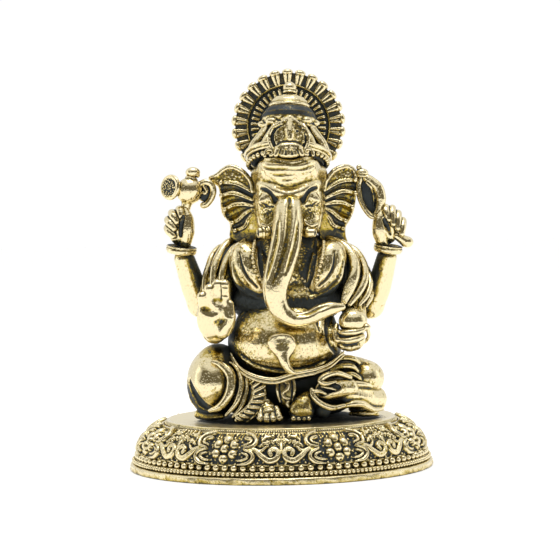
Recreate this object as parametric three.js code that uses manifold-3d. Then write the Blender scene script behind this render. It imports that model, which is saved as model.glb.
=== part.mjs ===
// Seated elephant-headed deity statuette on a round ornamental base.
// Millimetres, +Z up, the figure faces -Y. The origin is the centre of the base's underside.
// Sides are the figure's own: its right arm and right leg are on -X.
import * as THREE from "three";
import { mergeVertices } from "three/addons/utils/BufferGeometryUtils.js";
import Module from "manifold-3d";

const wasm = await Module();
wasm.setup();

// ---------------------------------------------------------------- driving dimensions
const BASE_RADIUS = 27; // foot ring
const TOP_RADIUS = 20; // flat top of the base
const TOP_HEIGHT = 8.8; // the figure sits at this height
const HALO_RADIUS = 10.4;
const HALO_CENTRE = new THREE.Vector3(2.4, 6.6, 60.8);
const HALO_RAYS = 26;
const FLOWERS = 8; // rosettes round the base
const GAP = 0.3; // between neighbouring pieces
const FINEST = 0.01; // details smaller than this are smoothed away
const CROWN_TILT = 9; // degrees, backwards
const BROW_TILT = 18;
const CROWN_SEAT = new THREE.Vector3(2.3, -1.4, 54.9);

// ---------------------------------------------------------------- materials
const finish = (color, roughness) =>
  new THREE.MeshStandardMaterial({ color, roughness, metalness: 1 });
const antiqueGold = finish(0xd4b25e, 0.28);
const oxidisedGold = finish(0x9c8447, 0.4);

// ---------------------------------------------------------------- solids
const vec = (p) => new THREE.Vector3(...p);

function solid(geometry) {
  const plain = geometry.clone();
  for (const name of ["normal", "uv"]) plain.deleteAttribute(name);
  const merged = mergeVertices(plain, 1e-4);
  return new wasm.Manifold(
    new wasm.Mesh({
      numProp: 3,
      vertProperties: merged.attributes.position.array,
      triVerts: new Uint32Array(merged.index.array),
    }),
  );
}

function union(solids) {
  return solids.reduce((whole, next) => whole.add(next));
}

// An ellipsoid with the given half axes, turned by degrees about X, Y and Z.
function ball(centre, radii, turn = [0, 0, 0], sides = 12) {
  return (grow) => {
    const shape = new THREE.SphereGeometry(1, sides, Math.round(sides * 0.7));
    shape.rotateX(Math.PI / 2);
    shape.scale(...radii.map((r) => r + grow));
    const angles = turn.map(THREE.MathUtils.degToRad);
    shape.applyMatrix4(new THREE.Matrix4().makeRotationFromEuler(new THREE.Euler(...angles)));
    shape.translate(...centre);
    return solid(shape);
  };
}

// A round-ended limb along a smooth curve through the points, its radius running through the radii.
// Its section is flattened by flat along the reference direction.
function limb(points, radii, { sides = 8, steps = 5, flat = 1, across = [0, 1, 0] } = {}) {
  return (grow) => {
    const curve = new THREE.CatmullRomCurve3(points.map(vec), false, "centripetal");
    const radiusAt = (t) => {
      const s = Math.min(t, 0.9999) * (radii.length - 1);
      const i = Math.floor(s);
      return THREE.MathUtils.lerp(radii[i], radii[i + 1], s - i) + grow;
    };
    const stations = [];
    const station = (t, beyond, share) => {
      const tangent = curve.getTangent(t);
      const centre = curve.getPoint(t).addScaledVector(tangent, beyond);
      stations.push({ centre, tangent, radius: radiusAt(t) * share });
    };
    for (const a of [90, 50]) {
      const angle = THREE.MathUtils.degToRad(a);
      station(0, -radiusAt(0) * Math.sin(angle), a === 90 ? 0 : Math.cos(angle));
    }
    for (let i = 0; i <= steps; i++) station(i / steps, 0, 1);
    for (const a of [50, 90]) {
      const angle = THREE.MathUtils.degToRad(a);
      station(1, radiusAt(1) * Math.sin(angle), a === 90 ? 0 : Math.cos(angle));
    }
    const shape = new THREE.SphereGeometry(1, sides, stations.length - 1);
    const position = shape.attributes.position;
    stations.forEach(({ centre, tangent, radius }, row) => {
      const normal = vec(across).addScaledVector(tangent, -tangent.dot(vec(across))).normalize();
      const side = tangent.clone().cross(normal);
      for (let i = 0; i <= sides; i++) {
        const angle = ((i % sides) / sides) * 2 * Math.PI;
        const p = centre
          .clone()
          .addScaledVector(normal, -Math.cos(angle) * radius * flat)
          .addScaledVector(side, Math.sin(angle) * radius);
        position.setXYZ(row * (sides + 1) + i, p.x, p.y, p.z);
      }
    });
    return solid(shape);
  };
}

// A turned piece: its profile holds [radius, height] points, and place carries it from its own axis.
function turned(profile, place = new THREE.Matrix4(), sides = 40) {
  return (grow) => {
    const middle = profile.reduce((sum, p) => [sum[0] + p[0], sum[1] + p[1]], [0, 0]);
    const centre = middle.map((v) => v / profile.length);
    const points = profile.map(([r, h]) => {
      const radius = r === 0 ? 0 : r + grow * Math.sign(r - centre[0]);
      return new THREE.Vector2(radius, h + grow * Math.sign(h - centre[1]));
    });
    if (profile[0][0] > 0) points.push(points[0].clone());
    const shape = new THREE.LatheGeometry(points, sides);
    shape.rotateX(Math.PI / 2);
    shape.applyMatrix4(place);
    return solid(shape);
  };
}

// A flat panel: an outline of [x, z] points, thickened along Y from front to back.
function panel(outline, front, back, hole = null) {
  return (grow) => {
    const shape = new THREE.Shape(outline.map(([x, z]) => new THREE.Vector2(x, z)));
    if (hole) shape.holes.push(new THREE.Path().absarc(hole.x, hole.y, hole.radius - grow, 0, 2 * Math.PI));
    const slab = new THREE.ExtrudeGeometry(shape, {
      depth: back - front + 2 * grow,
      bevelEnabled: grow > 0,
      bevelSize: grow,
      bevelThickness: 0.01,
      bevelSegments: 1,
      curveSegments: 13,
    });
    slab.rotateX(Math.PI / 2);
    slab.translate(0, back + grow, 0);
    return solid(slab);
  };
}

const all = (...shapes) => (grow) => union(shapes.map((shape) => shape(grow)));

const place = (at, tilt) =>
  new THREE.Matrix4()
    .makeTranslation(at.x, at.y, at.z)
    .multiply(new THREE.Matrix4().makeRotationX(-THREE.MathUtils.degToRad(tilt)));

// ---------------------------------------------------------------- the base
// The plinth is one turned casting. Rings of beads and the floral band sit round it.
const CORE_RADIUS = 23.4;
const CORE_TOP = 19.0;

const plinth = turned([
  [0, 0],
  [CORE_RADIUS, 0],
  [CORE_RADIUS, 2.6],
  [22.6, 5.2],
  [20.6, 7.4],
  [CORE_TOP, 7.9],
  [CORE_TOP, TOP_HEIGHT],
  [0, TOP_HEIGHT],
]);
const footRing = turned([
  [CORE_RADIUS + GAP, 0],
  [BASE_RADIUS - 0.2, 0],
  [BASE_RADIUS, 0.4],
  [BASE_RADIUS - 0.1, 1.2],
  [CORE_RADIUS + GAP, 1.2],
]);
const smallBeadRow = turned([
  [CORE_RADIUS + GAP, 1.5],
  [26.5, 1.5],
  [26.7, 1.75],
  [26.5, 2.0],
  [CORE_RADIUS + GAP, 2.0],
]);
const largeBeadRow = turned([
  [CORE_RADIUS + GAP, 2.3],
  [25.8, 2.3],
  [26.1, 2.7],
  [25.6, 3.1],
  [CORE_RADIUS + GAP, 3.1],
]);
const topRim = turned([
  [CORE_TOP + GAP, 8.2],
  [TOP_RADIUS + 0.2, 8.2],
  [TOP_RADIUS + 0.3, 8.5],
  [TOP_RADIUS, TOP_HEIGHT],
  [CORE_TOP + GAP, TOP_HEIGHT],
]);

// The floral band, a domed shell, with a raised rosette every 45 degrees.
function floralBand(grow) {
  const shell = turned([
    [CORE_RADIUS + GAP, 3.4],
    [25.0, 3.4],
    [24.6, 4.8],
    [23.5, 6.4],
    [21.2, 7.9],
    [20.7, 7.8],
    [22.9, 5.4],
  ])(grow);
  const rosettes = Array.from({ length: FLOWERS }, (_, i) => {
    const angle = ((i + 0.5) / FLOWERS) * 2 * Math.PI;
    const centre = [24.0 * Math.cos(angle), 24.0 * Math.sin(angle), 5.7];
    return ball(centre, [1.2, 2.3, 1.9], [0, -30, THREE.MathUtils.radToDeg(angle)], 8)(grow);
  });
  const bore = turned([
    [0, 3],
    [CORE_RADIUS + GAP, 3],
    [CORE_RADIUS + GAP, 3.5],
    [22.9, 5.4],
    [20.7, 7.9],
    [0, 7.9],
  ])(0);
  return union([shell, ...rosettes]).subtract(bore);
}

// ---------------------------------------------------------------- body
const torso = all(
  ball([1.8, 0.6, 34.0], [9.4, 9.2, 8.4], [0, 0, 0], 16),
  ball([2.0, -0.8, 40.2], [4.6, 4.8, 3.0]),
);
const belly = ball([1.4, -3.6, 23.0], [9.8, 9.4, 7.8], [0, 0, 0], 16);
const seat = ball([1.2, 2.6, 14.6], [14.4, 9.6, 7.4], [0, 0, 0], 16);
const head = ball([2.2, -2.6, 48.0], [6.2, 6.6, 7.6], [0, 0, 0], 16);
const hairKnot = ball([2.3, 4.3, 51.0], [3.6, 2.3, 3.8], [0, 0, 0], 12);

const rightKnee = ball([-11.8, -3.6, 15.4], [4.8, 6.2, 6.5], [0, 0, 0], 10);
const rightShin = limb([[-9.4, -6.2, 15.3], [-6.6, -8.9, 14.6]], [4.4, 3.9], { steps: 2, sides: 10 });
const rightHem = ball([-4.8, -10.4, 13.4], [1.1, 3.2, 3.5], [0, 15, -38]);
const rightFoot = limb(
  [[-3.0, -10.8, 11.8], [-2.0, -12.9, 10.6]],
  [1.9, 1.5],
  { steps: 3, across: [0, 0, 1] },
);
const leftKnee = ball([13.4, -2.0, 16.0], [4.6, 5.6, 4.2]);
const leftShin = limb([[16.4, -2.8, 11.8], [12.6, -7.9, 12.9]], [2.7, 2.4], { steps: 4 });
const leftHem = limb(
  [[11.4, -9.0, 14.0], [8.0, -10.7, 14.4]],
  [2.1, 2.7],
  { steps: 3, across: [0, 0, 1] },
);
const leftFoot = all(
  ball([3.4, -12.0, 11.2], [1.5, 1.9, 2.0], [0, 0, 0], 10),
  limb([[3.8, -11.2, 11.8], [6.6, -9.8, 12.4]], [1.3, 1.2], { steps: 3 }),
);
const lowerFold = ball([14.8, -6.2, 9.9], [2.5, 2.0, 0.9], [0, 0, 0], 10);

const waistPleats = ball([1.0, -11.2, 14.1], [1.8, 1.0, 2.7], [0, 0, 0], 10);
const snakeBelt = limb(
  [
    [-8.7, -7.2, 20.2],
    [-7.0, -9.9, 18.4],
    [-4.2, -12.1, 16.9],
    [-1.0, -13.0, 16.4],
    [2.2, -13.2, 16.6],
    [5.6, -12.4, 17.2],
    [9.0, -10.5, 18.4],
    [11.4, -7.6, 20.2],
  ],
  [0.5, 0.55, 0.55, 0.5],
  { steps: 10, sides: 6 },
);
const snakeHood = limb(
  [
    [0.4, -13.4, 23.6],
    [0.4, -13.8, 22.2],
    [0.7, -13.8, 20.2],
    [1.3, -13.8, 18.4],
    [2.2, -14.2, 17.8],
  ],
  [1.5, 2.2, 1.6, 0.9, 0.5],
  { flat: 0.4, steps: 6 },
);
const beadGarland = limb(
  [
    [-3.0, -9.2, 38.0],
    [-3.5, -10.4, 33.5],
    [-3.0, -11.6, 29.6],
    [-1.4, -13.2, 26.6],
    [1.6, -14.0, 25.4],
    [4.8, -13.2, 26.8],
    [6.4, -11.4, 30.4],
    [6.5, -10.0, 35.0],
    [6.3, -9.2, 38.2],
  ],
  [0.45, 0.45],
  { steps: 12, sides: 6 },
);
const rightShawl = ball([-9.4, 0.4, 35.8], [3.4, 5.2, 5.0], [0, 20, 0], 12);
const leftShawl = ball([13.0, -0.6, 34.2], [3.4, 5.6, 5.6], [0, -20, 0], 12);

// ---------------------------------------------------------------- head
const trunk = limb(
  [
    [2.1, -8.6, 49.4],
    [1.8, -9.8, 45.6],
    [1.6, -11.2, 41.2],
    [0.4, -12.8, 35.6],
    [-0.5, -13.7, 32.0],
    [-0.3, -14.4, 29.4],
    [0.9, -14.8, 27.4],
    [3.0, -14.9, 26.6],
    [5.2, -14.8, 27.0],
    [7.1, -14.5, 28.0],
    [9.1, -14.1, 28.7],
    [10.8, -13.7, 28.7],
  ],
  [1.9, 2.4, 2.6, 2.5, 2.2, 1.95, 1.6, 1.25, 1.3, 1.4, 1.25, 0.6],
  { steps: 16, sides: 10 },
);
const tusk = (points, radii) => limb(points, radii, { steps: 2, across: [0, 0, 1] });
const rightTusk = tusk([[-1.0, -8.6, 41.8], [-3.0, -9.8, 41.7]], [1.1, 1.0]);
const leftTusk = tusk([[5.0, -8.6, 41.7], [6.5, -9.8, 41.5]], [0.9, 0.8]);
const rightEar = panel(
  [[-3.6, 51.0], [-6.1, 52.9], [-8.0, 53.4], [-9.6, 52.9], [-12.2, 51.6], [-10.6, 50.0],
   [-10.4, 48.4], [-9.9, 45.9], [-8.6, 43.4], [-8.3, 41.3], [-6.2, 41.0], [-3.4, 42.2]].reverse(),
  -1.4, 0.4,
);
const leftEar = panel(
  [[8.0, 51.2], [10.4, 52.8], [11.8, 53.2], [13.2, 52.8], [14.3, 51.6], [14.2, 48.6],
   [13.5, 45.5], [12.0, 42.3], [12.4, 39.8], [10.6, 40.6], [7.6, 42.0]],
  -1.4, 0.4,
);

// ---------------------------------------------------------------- crown and halo
const crownPlace = place(CROWN_SEAT, CROWN_TILT);
const browPlace = place(CROWN_SEAT, BROW_TILT);
const browBeads = turned([[5.4, -1.5], [7.3, -1.5], [7.5, -1.1], [7.2, -0.7], [5.4, -0.7]], browPlace, 24);
const browBand = turned([[5.4, -0.4], [7.7, -0.4], [7.9, 0.2], [7.6, 0.8], [5.4, 0.8]], browPlace, 24);
const crownTier = turned([[0, 1.1], [7.2, 1.1], [6.6, 3.0], [5.3, 5.6], [0, 5.6]], crownPlace, 20);
const crownCuff = turned(
  [[0, 5.9], [5.2, 5.9], [4.9, 7.4], [4.3, 8.4], [3.6, 8.9], [0, 8.9]],
  crownPlace,
  20,
);
const crownDome = turned(
  [[0, 9.2], [3.5, 9.2], [3.2, 10.3], [2.2, 11.3], [1.0, 11.7], [0, 11.7]],
  crownPlace,
  12,
);
const crownFinial = turned(
  [[0, 12.0], [0.9, 12.0], [0.8, 12.3], [1.1, 12.9], [0.9, 13.6], [0.4, 14.0], [0, 14.1]],
  crownPlace,
  12,
);
const crownMedallion = all(
  ball([2.3, -8.6, 58.0], [3.5, 1.3, 3.2], [0, 0, 0], 12),
  limb([[2.3, -8.6, 58.4], [2.4, -7.9, 61.4]], [2.0, 0.5], { steps: 2, flat: 0.6 }),
);

const haloPlace = new THREE.Matrix4()
  .makeTranslation(HALO_CENTRE.x, HALO_CENTRE.y, HALO_CENTRE.z)
  .multiply(new THREE.Matrix4().makeRotationX(Math.PI / 2));
const haloPlate = turned([[0, -0.4], [7.0, -0.4], [7.0, 0.4], [0, 0.4]], haloPlace, 26);
const haloRope = turned([[7.3, -0.5], [7.8, -0.5], [7.8, 0.5], [7.3, 0.5]], haloPlace, 26);
const haloRays = panel(
  Array.from({ length: HALO_RAYS * 3 }, (_, i) => {
    const angle = ((i + 1) / (HALO_RAYS * 3)) * 2 * Math.PI;
    const radius = i % 3 === 0 ? HALO_RADIUS - 1.0 : HALO_RADIUS;
    return [HALO_CENTRE.x + radius * Math.sin(angle), HALO_CENTRE.z + radius * Math.cos(angle)];
  }).reverse(),
  HALO_CENTRE.y - 0.5,
  HALO_CENTRE.y + 0.5,
  { x: HALO_CENTRE.x, y: HALO_CENTRE.z, radius: 8.1 },
);

// ---------------------------------------------------------------- rear arms and what they hold
const rightRearArm = all(
  limb([[-8.6, 4.6, 35.6], [-11.8, 4.2, 31.6], [-14.0, 1.8, 28.9]], [2.5, 2.5, 2.3], { steps: 3 }),
  limb([[-14.2, 1.4, 29.2], [-15.5, 0.3, 32.4], [-16.5, -0.8, 36.0]], [2.3, 2.2, 1.8], { steps: 3 }),
);
const leftRearArm = all(
  limb([[12.2, 4.6, 35.0], [15.0, 4.2, 30.8], [16.6, 1.8, 28.1]], [2.5, 2.5, 2.3], { steps: 3 }),
  limb([[16.8, 1.4, 28.4], [18.0, 0.3, 31.6], [19.2, -0.8, 35.4]], [2.3, 2.2, 1.8], { steps: 3 }),
);
const rightRearBracelet = ball([-17.1, -1.0, 38.6], [2.8, 2.7, 0.9], [0, -6, 0]);
const leftRearBracelet = ball([19.6, -1.0, 38.1], [2.6, 2.6, 0.9], [0, 6, 0]);

// A closed fist: a palm, four fingers stacked on its outer side, and a thumb across the front.
function fist(centre, side) {
  const at = (x, y, z) => [centre[0] + side * x, centre[1] + y, centre[2] + z];
  const fingers = [0, 1, 2, 3].map((i) =>
    limb([at(0.9 + 0.35 * i, -1.7, 2.5 - 0.95 * i), at(2.0 + 0.3 * i, 0.1, 2.3 - 0.95 * i)],
      [0.75, 0.75], { steps: 1, sides: 6, across: [0, 0, 1] }),
  );
  const thumb = limb([at(-1.6, -1.2, -0.6), at(-0.4, -2.2, 1.6)], [0.9, 0.7], { steps: 1, sides: 6 });
  return all(ball(centre, [2.3, 2.1, 3.2], [0, 0, 0], 10), ...fingers, thumb);
}
const rightRearFist = fist([-17.3, -1.4, 43.0], -1);
const leftRearFist = fist([19.4, -1.4, 42.6], 1);

const axeBody = all(
  ball([-15.4, -1.5, 49.6], [2.4, 1.9, 2.3], [0, 0, 0], 10),
  limb([[-16.0, -1.5, 47.0], [-15.6, -1.5, 48.6]], [1.0, 1.2], { steps: 1, sides: 6 }),
);
const axeFinial = ball([-14.8, -1.5, 52.9], [1.2, 1.2, 1.0], [0, 0, 0], 10);
const axeBlade = ball([-19.1, -1.7, 50.0], [1.3, 1.6, 2.2], [0, 0, 0], 10);
const axeHook = limb(
  [[-12.7, -1.5, 50.4], [-11.7, -1.5, 50.5], [-11.0, -1.5, 49.2], [-11.6, -1.5, 47.8], [-12.4, -1.5, 46.8]],
  [0.6, 0.55],
  { steps: 6, sides: 6 },
);
const nooseLoop = ball([16.6, -1.2, 48.0], [2.1, 1.1, 3.4], [0, -24, 0], 10);
const nooseKnot = ball([15.1, -0.7, 52.3], [1.4, 1.2, 1.0], [0, 0, 0], 10);
const noosePommel = limb([[22.0, -2.2, 40.4], [23.0, -2.0, 39.5]], [0.7, 1.0], { steps: 1, sides: 6 });

// ---------------------------------------------------------------- front arms and what they hold
const rightFrontArm = limb(
  [[-8.4, -1.4, 34.0], [-10.6, -3.0, 28.6], [-11.2, -6.0, 25.0], [-11.2, -10.0, 24.6]],
  [2.3, 2.4, 2.3, 1.8],
  { steps: 5, across: [1, 0, 0] },
);
const leftFrontArm = limb(
  [[12.0, -1.4, 33.4], [14.4, -3.0, 28.2], [14.8, -5.6, 24.8], [13.6, -8.8, 23.4]],
  [2.3, 2.4, 2.2, 1.8],
  { steps: 5, across: [1, 0, 0] },
);
const fingerTips = [[-13.0, 32.0], [-11.7, 33.2], [-10.3, 33.6], [-9.1, 33.1]];
const blessingHand = all(
  ball([-10.9, -13.0, 26.6], [3.1, 1.5, 3.4], [0, 0, 0], 12),
  ...fingerTips.map(([x, z]) =>
    limb([[x * 0.94 - 0.7, -13.0, 27.6], [x, -12.8, z]], [0.85, 0.65], { steps: 1, sides: 6 })),
  limb([[-8.9, -13.5, 26.0], [-8.0, -13.9, 29.8]], [1.1, 0.65], { steps: 2, sides: 6 }),
);
const offeringHand = all(
  ball([12.2, -11.5, 22.5], [2.9, 2.3, 1.5], [0, 0, 0], 12),
  ...[0, 1, 2, 3].map((i) =>
    limb([[10.2 + 1.3 * i, -12.6, 21.8], [10.0 + 1.4 * i, -13.8, 23.4]],
      [0.75, 0.6], { steps: 1, sides: 6 })),
  limb([[14.6, -11.6, 22.8], [15.4, -11.6, 24.4]], [0.8, 0.7], { steps: 1, sides: 6 }),
);
const sweetBall = ball([12.6, -11.5, 26.2], [2.1, 2.1, 2.0], [0, 0, 0], 12);

// ---------------------------------------------------------------- assembly
// Earlier pieces keep their whole shape. Each later one is cut back from those before it.
const pieces = [
  ["base_plinth", plinth, antiqueGold],
  ["base_foot_ring", footRing, antiqueGold],
  ["base_small_bead_row", smallBeadRow, antiqueGold],
  ["base_large_bead_row", largeBeadRow, antiqueGold],
  ["base_floral_band", floralBand, oxidisedGold],
  ["base_top_rim", topRim, antiqueGold],
  ["torso", torso, antiqueGold],
  ["belly", belly, antiqueGold],
  ["dhoti_seat", seat, antiqueGold],
  ["head", head, antiqueGold],
  ["right_rear_arm", rightRearArm, antiqueGold],
  ["left_rear_arm", leftRearArm, antiqueGold],
  ["right_front_arm", rightFrontArm, antiqueGold],
  ["left_front_arm", leftFrontArm, antiqueGold],
  ["right_knee", rightKnee, antiqueGold],
  ["left_knee", leftKnee, antiqueGold],
  ["right_shin_folds", rightShin, antiqueGold],
  ["left_shin_drape", leftShin, antiqueGold],
  ["right_hem_band", rightHem, antiqueGold],
  ["left_hem_cuff", leftHem, antiqueGold],
  ["right_foot", rightFoot, antiqueGold],
  ["left_foot", leftFoot, antiqueGold],
  ["left_lower_fold", lowerFold, antiqueGold],
  ["waist_pleats", waistPleats, oxidisedGold],
  ["crown_brow_band", browBand, antiqueGold],
  ["crown_brow_beads", browBeads, oxidisedGold],
  ["crown_tier", crownTier, antiqueGold],
  ["crown_cuff", crownCuff, antiqueGold],
  ["crown_dome", crownDome, antiqueGold],
  ["crown_finial", crownFinial, antiqueGold],
  ["crown_medallion", crownMedallion, antiqueGold],
  ["halo_plate", haloPlate, oxidisedGold],
  ["halo_rope_ring", haloRope, antiqueGold],
  ["halo_ray_ring", haloRays, antiqueGold],
  ["hair_knot", hairKnot, oxidisedGold],
  ["trunk", trunk, antiqueGold],
  ["right_tusk", rightTusk, antiqueGold],
  ["left_tusk", leftTusk, antiqueGold],
  ["right_ear", rightEar, antiqueGold],
  ["left_ear", leftEar, antiqueGold],
  ["right_shawl", rightShawl, antiqueGold],
  ["left_shawl", leftShawl, antiqueGold],
  ["bead_garland", beadGarland, oxidisedGold],
  ["snake_hood", snakeHood, antiqueGold],
  ["snake_belt", snakeBelt, antiqueGold],
  ["right_rear_bracelet", rightRearBracelet, antiqueGold],
  ["left_rear_bracelet", leftRearBracelet, antiqueGold],
  ["right_rear_fist", rightRearFist, antiqueGold],
  ["left_rear_fist", leftRearFist, antiqueGold],
  ["axe_body", axeBody, antiqueGold],
  ["axe_finial", axeFinial, antiqueGold],
  ["axe_blade", axeBlade, oxidisedGold],
  ["axe_hook", axeHook, antiqueGold],
  ["noose_loop", nooseLoop, oxidisedGold],
  ["noose_knot", nooseKnot, antiqueGold],
  ["noose_pommel", noosePommel, antiqueGold],
  ["blessing_hand", blessingHand, antiqueGold],
  ["offering_hand", offeringHand, antiqueGold],
  ["sweet_ball", sweetBall, antiqueGold],
];

function near(a, b) {
  return [0, 1, 2].every((k) => a.min[k] < b.max[k] && b.min[k] < a.max[k]);
}

function largestBody(shape) {
  return shape.decompose().reduce((best, body) => (body.volume() > best.volume() ? body : best));
}

const statue = new THREE.Group();
const cutters = [];
for (const [name, shape, material] of pieces) {
  let body = shape(0);
  for (const cutter of cutters) {
    if (near(body.boundingBox(), cutter.boundingBox())) body = body.subtract(cutter);
  }
  body = largestBody(body).simplify(FINEST);
  cutters.push(shape(GAP));
  const made = body.getMesh();
  const geometry = new THREE.BufferGeometry();
  geometry.setAttribute("position", new THREE.BufferAttribute(made.vertProperties, 3));
  geometry.setIndex(new THREE.BufferAttribute(made.triVerts, 1));
  geometry.computeVertexNormals();
  const mesh = new THREE.Mesh(geometry, material);
  mesh.name = name;
  statue.add(mesh);
}

export default statue;
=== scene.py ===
"""Looks of a seated elephant-headed deity statuette, cast in antiqued gold-tone metal.

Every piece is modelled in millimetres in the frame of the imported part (+Z up, facing -Y, origin at
the centre of the base's underside) and stands for the CAD node of the same name.
Most members are sculpted as signed-distance clay on a grid and skinned. The turned pieces, bead
rows and the floral band are made directly.
"""
import math

import bpy
import numpy as np
from mathutils import Matrix, Vector


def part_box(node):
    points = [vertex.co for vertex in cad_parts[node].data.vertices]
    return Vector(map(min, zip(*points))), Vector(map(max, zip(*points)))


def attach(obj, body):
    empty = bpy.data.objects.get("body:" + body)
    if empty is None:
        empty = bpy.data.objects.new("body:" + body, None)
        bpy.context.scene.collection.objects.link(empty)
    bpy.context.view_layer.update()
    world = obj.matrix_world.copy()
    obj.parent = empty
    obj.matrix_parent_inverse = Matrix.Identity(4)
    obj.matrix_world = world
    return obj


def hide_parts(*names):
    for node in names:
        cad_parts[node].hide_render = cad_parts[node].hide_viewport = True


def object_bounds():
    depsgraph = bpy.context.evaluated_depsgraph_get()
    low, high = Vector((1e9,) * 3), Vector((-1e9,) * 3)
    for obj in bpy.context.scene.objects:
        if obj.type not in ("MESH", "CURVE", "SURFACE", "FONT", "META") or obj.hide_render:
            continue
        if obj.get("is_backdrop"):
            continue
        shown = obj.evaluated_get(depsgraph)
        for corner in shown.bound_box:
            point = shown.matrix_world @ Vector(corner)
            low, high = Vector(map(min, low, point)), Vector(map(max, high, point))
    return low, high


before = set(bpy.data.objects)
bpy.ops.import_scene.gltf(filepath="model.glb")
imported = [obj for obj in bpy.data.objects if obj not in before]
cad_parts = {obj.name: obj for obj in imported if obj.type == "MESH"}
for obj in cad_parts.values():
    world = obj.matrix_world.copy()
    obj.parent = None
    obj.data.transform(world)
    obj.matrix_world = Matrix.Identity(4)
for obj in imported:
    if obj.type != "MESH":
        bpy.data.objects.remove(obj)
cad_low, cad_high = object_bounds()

MM = 0.001
FAR = 9.0  # clay distances stop growing here


# ------------------------------------------------------------------ places from the frame
def box_mm(node):
    low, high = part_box(node)
    return np.array(low) / MM, np.array(high) / MM


def middle(node):
    low, high = box_mm(node)
    return (low + high) / 2


ORIGIN = np.append((np.array(cad_low)[:2] + np.array(cad_high)[:2]) / 2, cad_low[2]) / MM
PLATE_TOP = box_mm("base_plinth")[1][2]
FOOT_RADIUS = box_mm("base_foot_ring")[1][0]
PLATE_RADIUS = box_mm("base_top_rim")[1][0]
HALO = middle("halo_plate")
HALO_RADIUS = (box_mm("halo_ray_ring")[1][0] - box_mm("halo_ray_ring")[0][0]) / 2


def clamped(share):
    """A share held between 0 and 1."""
    return np.clip(share, 0, 1)


# ------------------------------------------------------------------ grain
CELL_STEPS = (374761393, 668265263, 2147483647)  # large numbers that scatter neighbouring cells
SEED_STEP = 144665
MIXER = 1274126177


def lattice(cell, seed):
    """One repeatable random number in 0..1 for each whole-number cell."""
    h = sum(cell[..., k] * step for k, step in enumerate(CELL_STEPS)) + seed * SEED_STEP
    h = (h ^ (h >> 13)) * MIXER
    return ((h ^ (h >> 16)) & 0xFFFF) / 65535.0


GRAIN_REACH = 0.6  # a grain's radius, as a share of the spacing


def grains(points, size, seed=0):
    """Round grains packed about size apart: 1 at a grain's middle, 0 between grains."""
    p = points / size
    cell = np.floor(p).astype(np.int64)
    nearest = np.full(p.shape[:-1], FAR)
    for offset in np.ndindex(3, 3, 3):
        c = cell + np.array(offset) - 1
        spot = c + np.stack([lattice(c, seed + k) for k in range(3)], -1)
        nearest = np.minimum(nearest, ((p - spot) ** 2).sum(-1))
    return clamped(1 - nearest / GRAIN_REACH**2)


# ------------------------------------------------------------------ clay
def smooth_curve(points, spacing):
    """Points along a Catmull-Rom curve, and where each lies in the list, as a number from 0."""
    p = np.array(points, float)
    if len(p) < 2:
        return p, np.zeros(1)
    p = np.vstack([2 * p[0] - p[1], p, 2 * p[-1] - p[-2]])
    line, where = [], []
    for i in range(1, len(p) - 2):
        a, b, c, d = p[i - 1 : i + 3]
        n = max(1, math.ceil(np.linalg.norm(c - b) / spacing))
        for t in np.arange(n) / n:
            line.append(0.5 * (2 * b + (c - a) * t + (2 * a - 5 * b + 4 * c - d) * t**2
                               + (3 * b - a - 3 * c + d) * t**3))
            where.append(i - 1 + t)
    line.append(p[-2])
    where.append(len(p) - 3)
    return np.array(line), np.array(where, float)


def spread_radii(radii, where):
    if np.isscalar(radii):
        return np.full(len(where), float(radii))
    stops = np.linspace(0, where[-1] if where[-1] > 0 else 1, len(radii))
    return np.interp(where, stops, radii)


def turn_matrix(degrees):
    x, y, z = np.radians(degrees)
    return np.array(Matrix.Rotation(z, 3, "Z") @ Matrix.Rotation(y, 3, "Y") @ Matrix.Rotation(x, 3, "X"))


class Ball:
    """An ellipsoid with half axes radii, turned about X, Y and Z in turn."""

    def __init__(self, centre, radii, turn=None):
        self.centre = np.array(centre, float)
        self.radii = np.broadcast_to(np.array(radii, float), 3)
        self.rotation = None if turn is None else turn_matrix(turn)
        reach = self.radii if turn is None else np.abs(self.rotation) @ self.radii
        self.low, self.high = self.centre - reach, self.centre + reach

    def distance(self, x, y, z):
        x, y, z = x - self.centre[0], y - self.centre[1], z - self.centre[2]
        if self.rotation is not None:
            r = self.rotation
            x, y, z = (r[0, k] * x + r[1, k] * y + r[2, k] * z for k in range(3))
        a, b, c = self.radii
        near = np.sqrt((x / a) ** 2 + (y / b) ** 2 + (z / c) ** 2)
        slope = np.sqrt((x / a**2) ** 2 + (y / b**2) ** 2 + (z / c**2) ** 2) + 1e-6
        return near * (near - 1) / slope


class Limb:
    """A round-ended limb along a smooth curve. Its section is scaled by scale on each axis."""

    def __init__(self, points, radii, scale=(1, 1, 1), spacing=0.5):
        self.line, where = smooth_curve(points, spacing)
        self.radius = spread_radii(radii, where)
        self.scale = np.array(scale, float)
        reach = self.radius[:, None] * self.scale
        self.low, self.high = (self.line - reach).min(0), (self.line + reach).max(0)

    def parts(self, margin):
        for i in range(len(self.line) - 1):
            a, b = self.line[i], self.line[i + 1]
            reach = max(self.radius[i], self.radius[i + 1]) * self.scale + margin
            yield np.minimum(a, b) - reach, np.maximum(a, b) + reach, i

    def part_distance(self, i, x, y, z):
        a, b, s = self.line[i], self.line[i + 1], self.scale
        e = (b - a) / s
        x, y, z = (x - a[0]) / s[0], (y - a[1]) / s[1], (z - a[2]) / s[2]
        t = clamped((x * e[0] + y * e[1] + z * e[2]) / (e @ e + 1e-9))
        r = self.radius[i] + (self.radius[i + 1] - self.radius[i]) * t
        x, y, z = (x - t * e[0]) / r, (y - t * e[1]) / r, (z - t * e[2]) / r
        near = np.sqrt(x * x + y * y + z * z)
        slope = np.sqrt((x / s[0]) ** 2 + (y / s[1]) ** 2 + (z / s[2]) ** 2) / r + 1e-6
        return near * (near - 1) / slope


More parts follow.
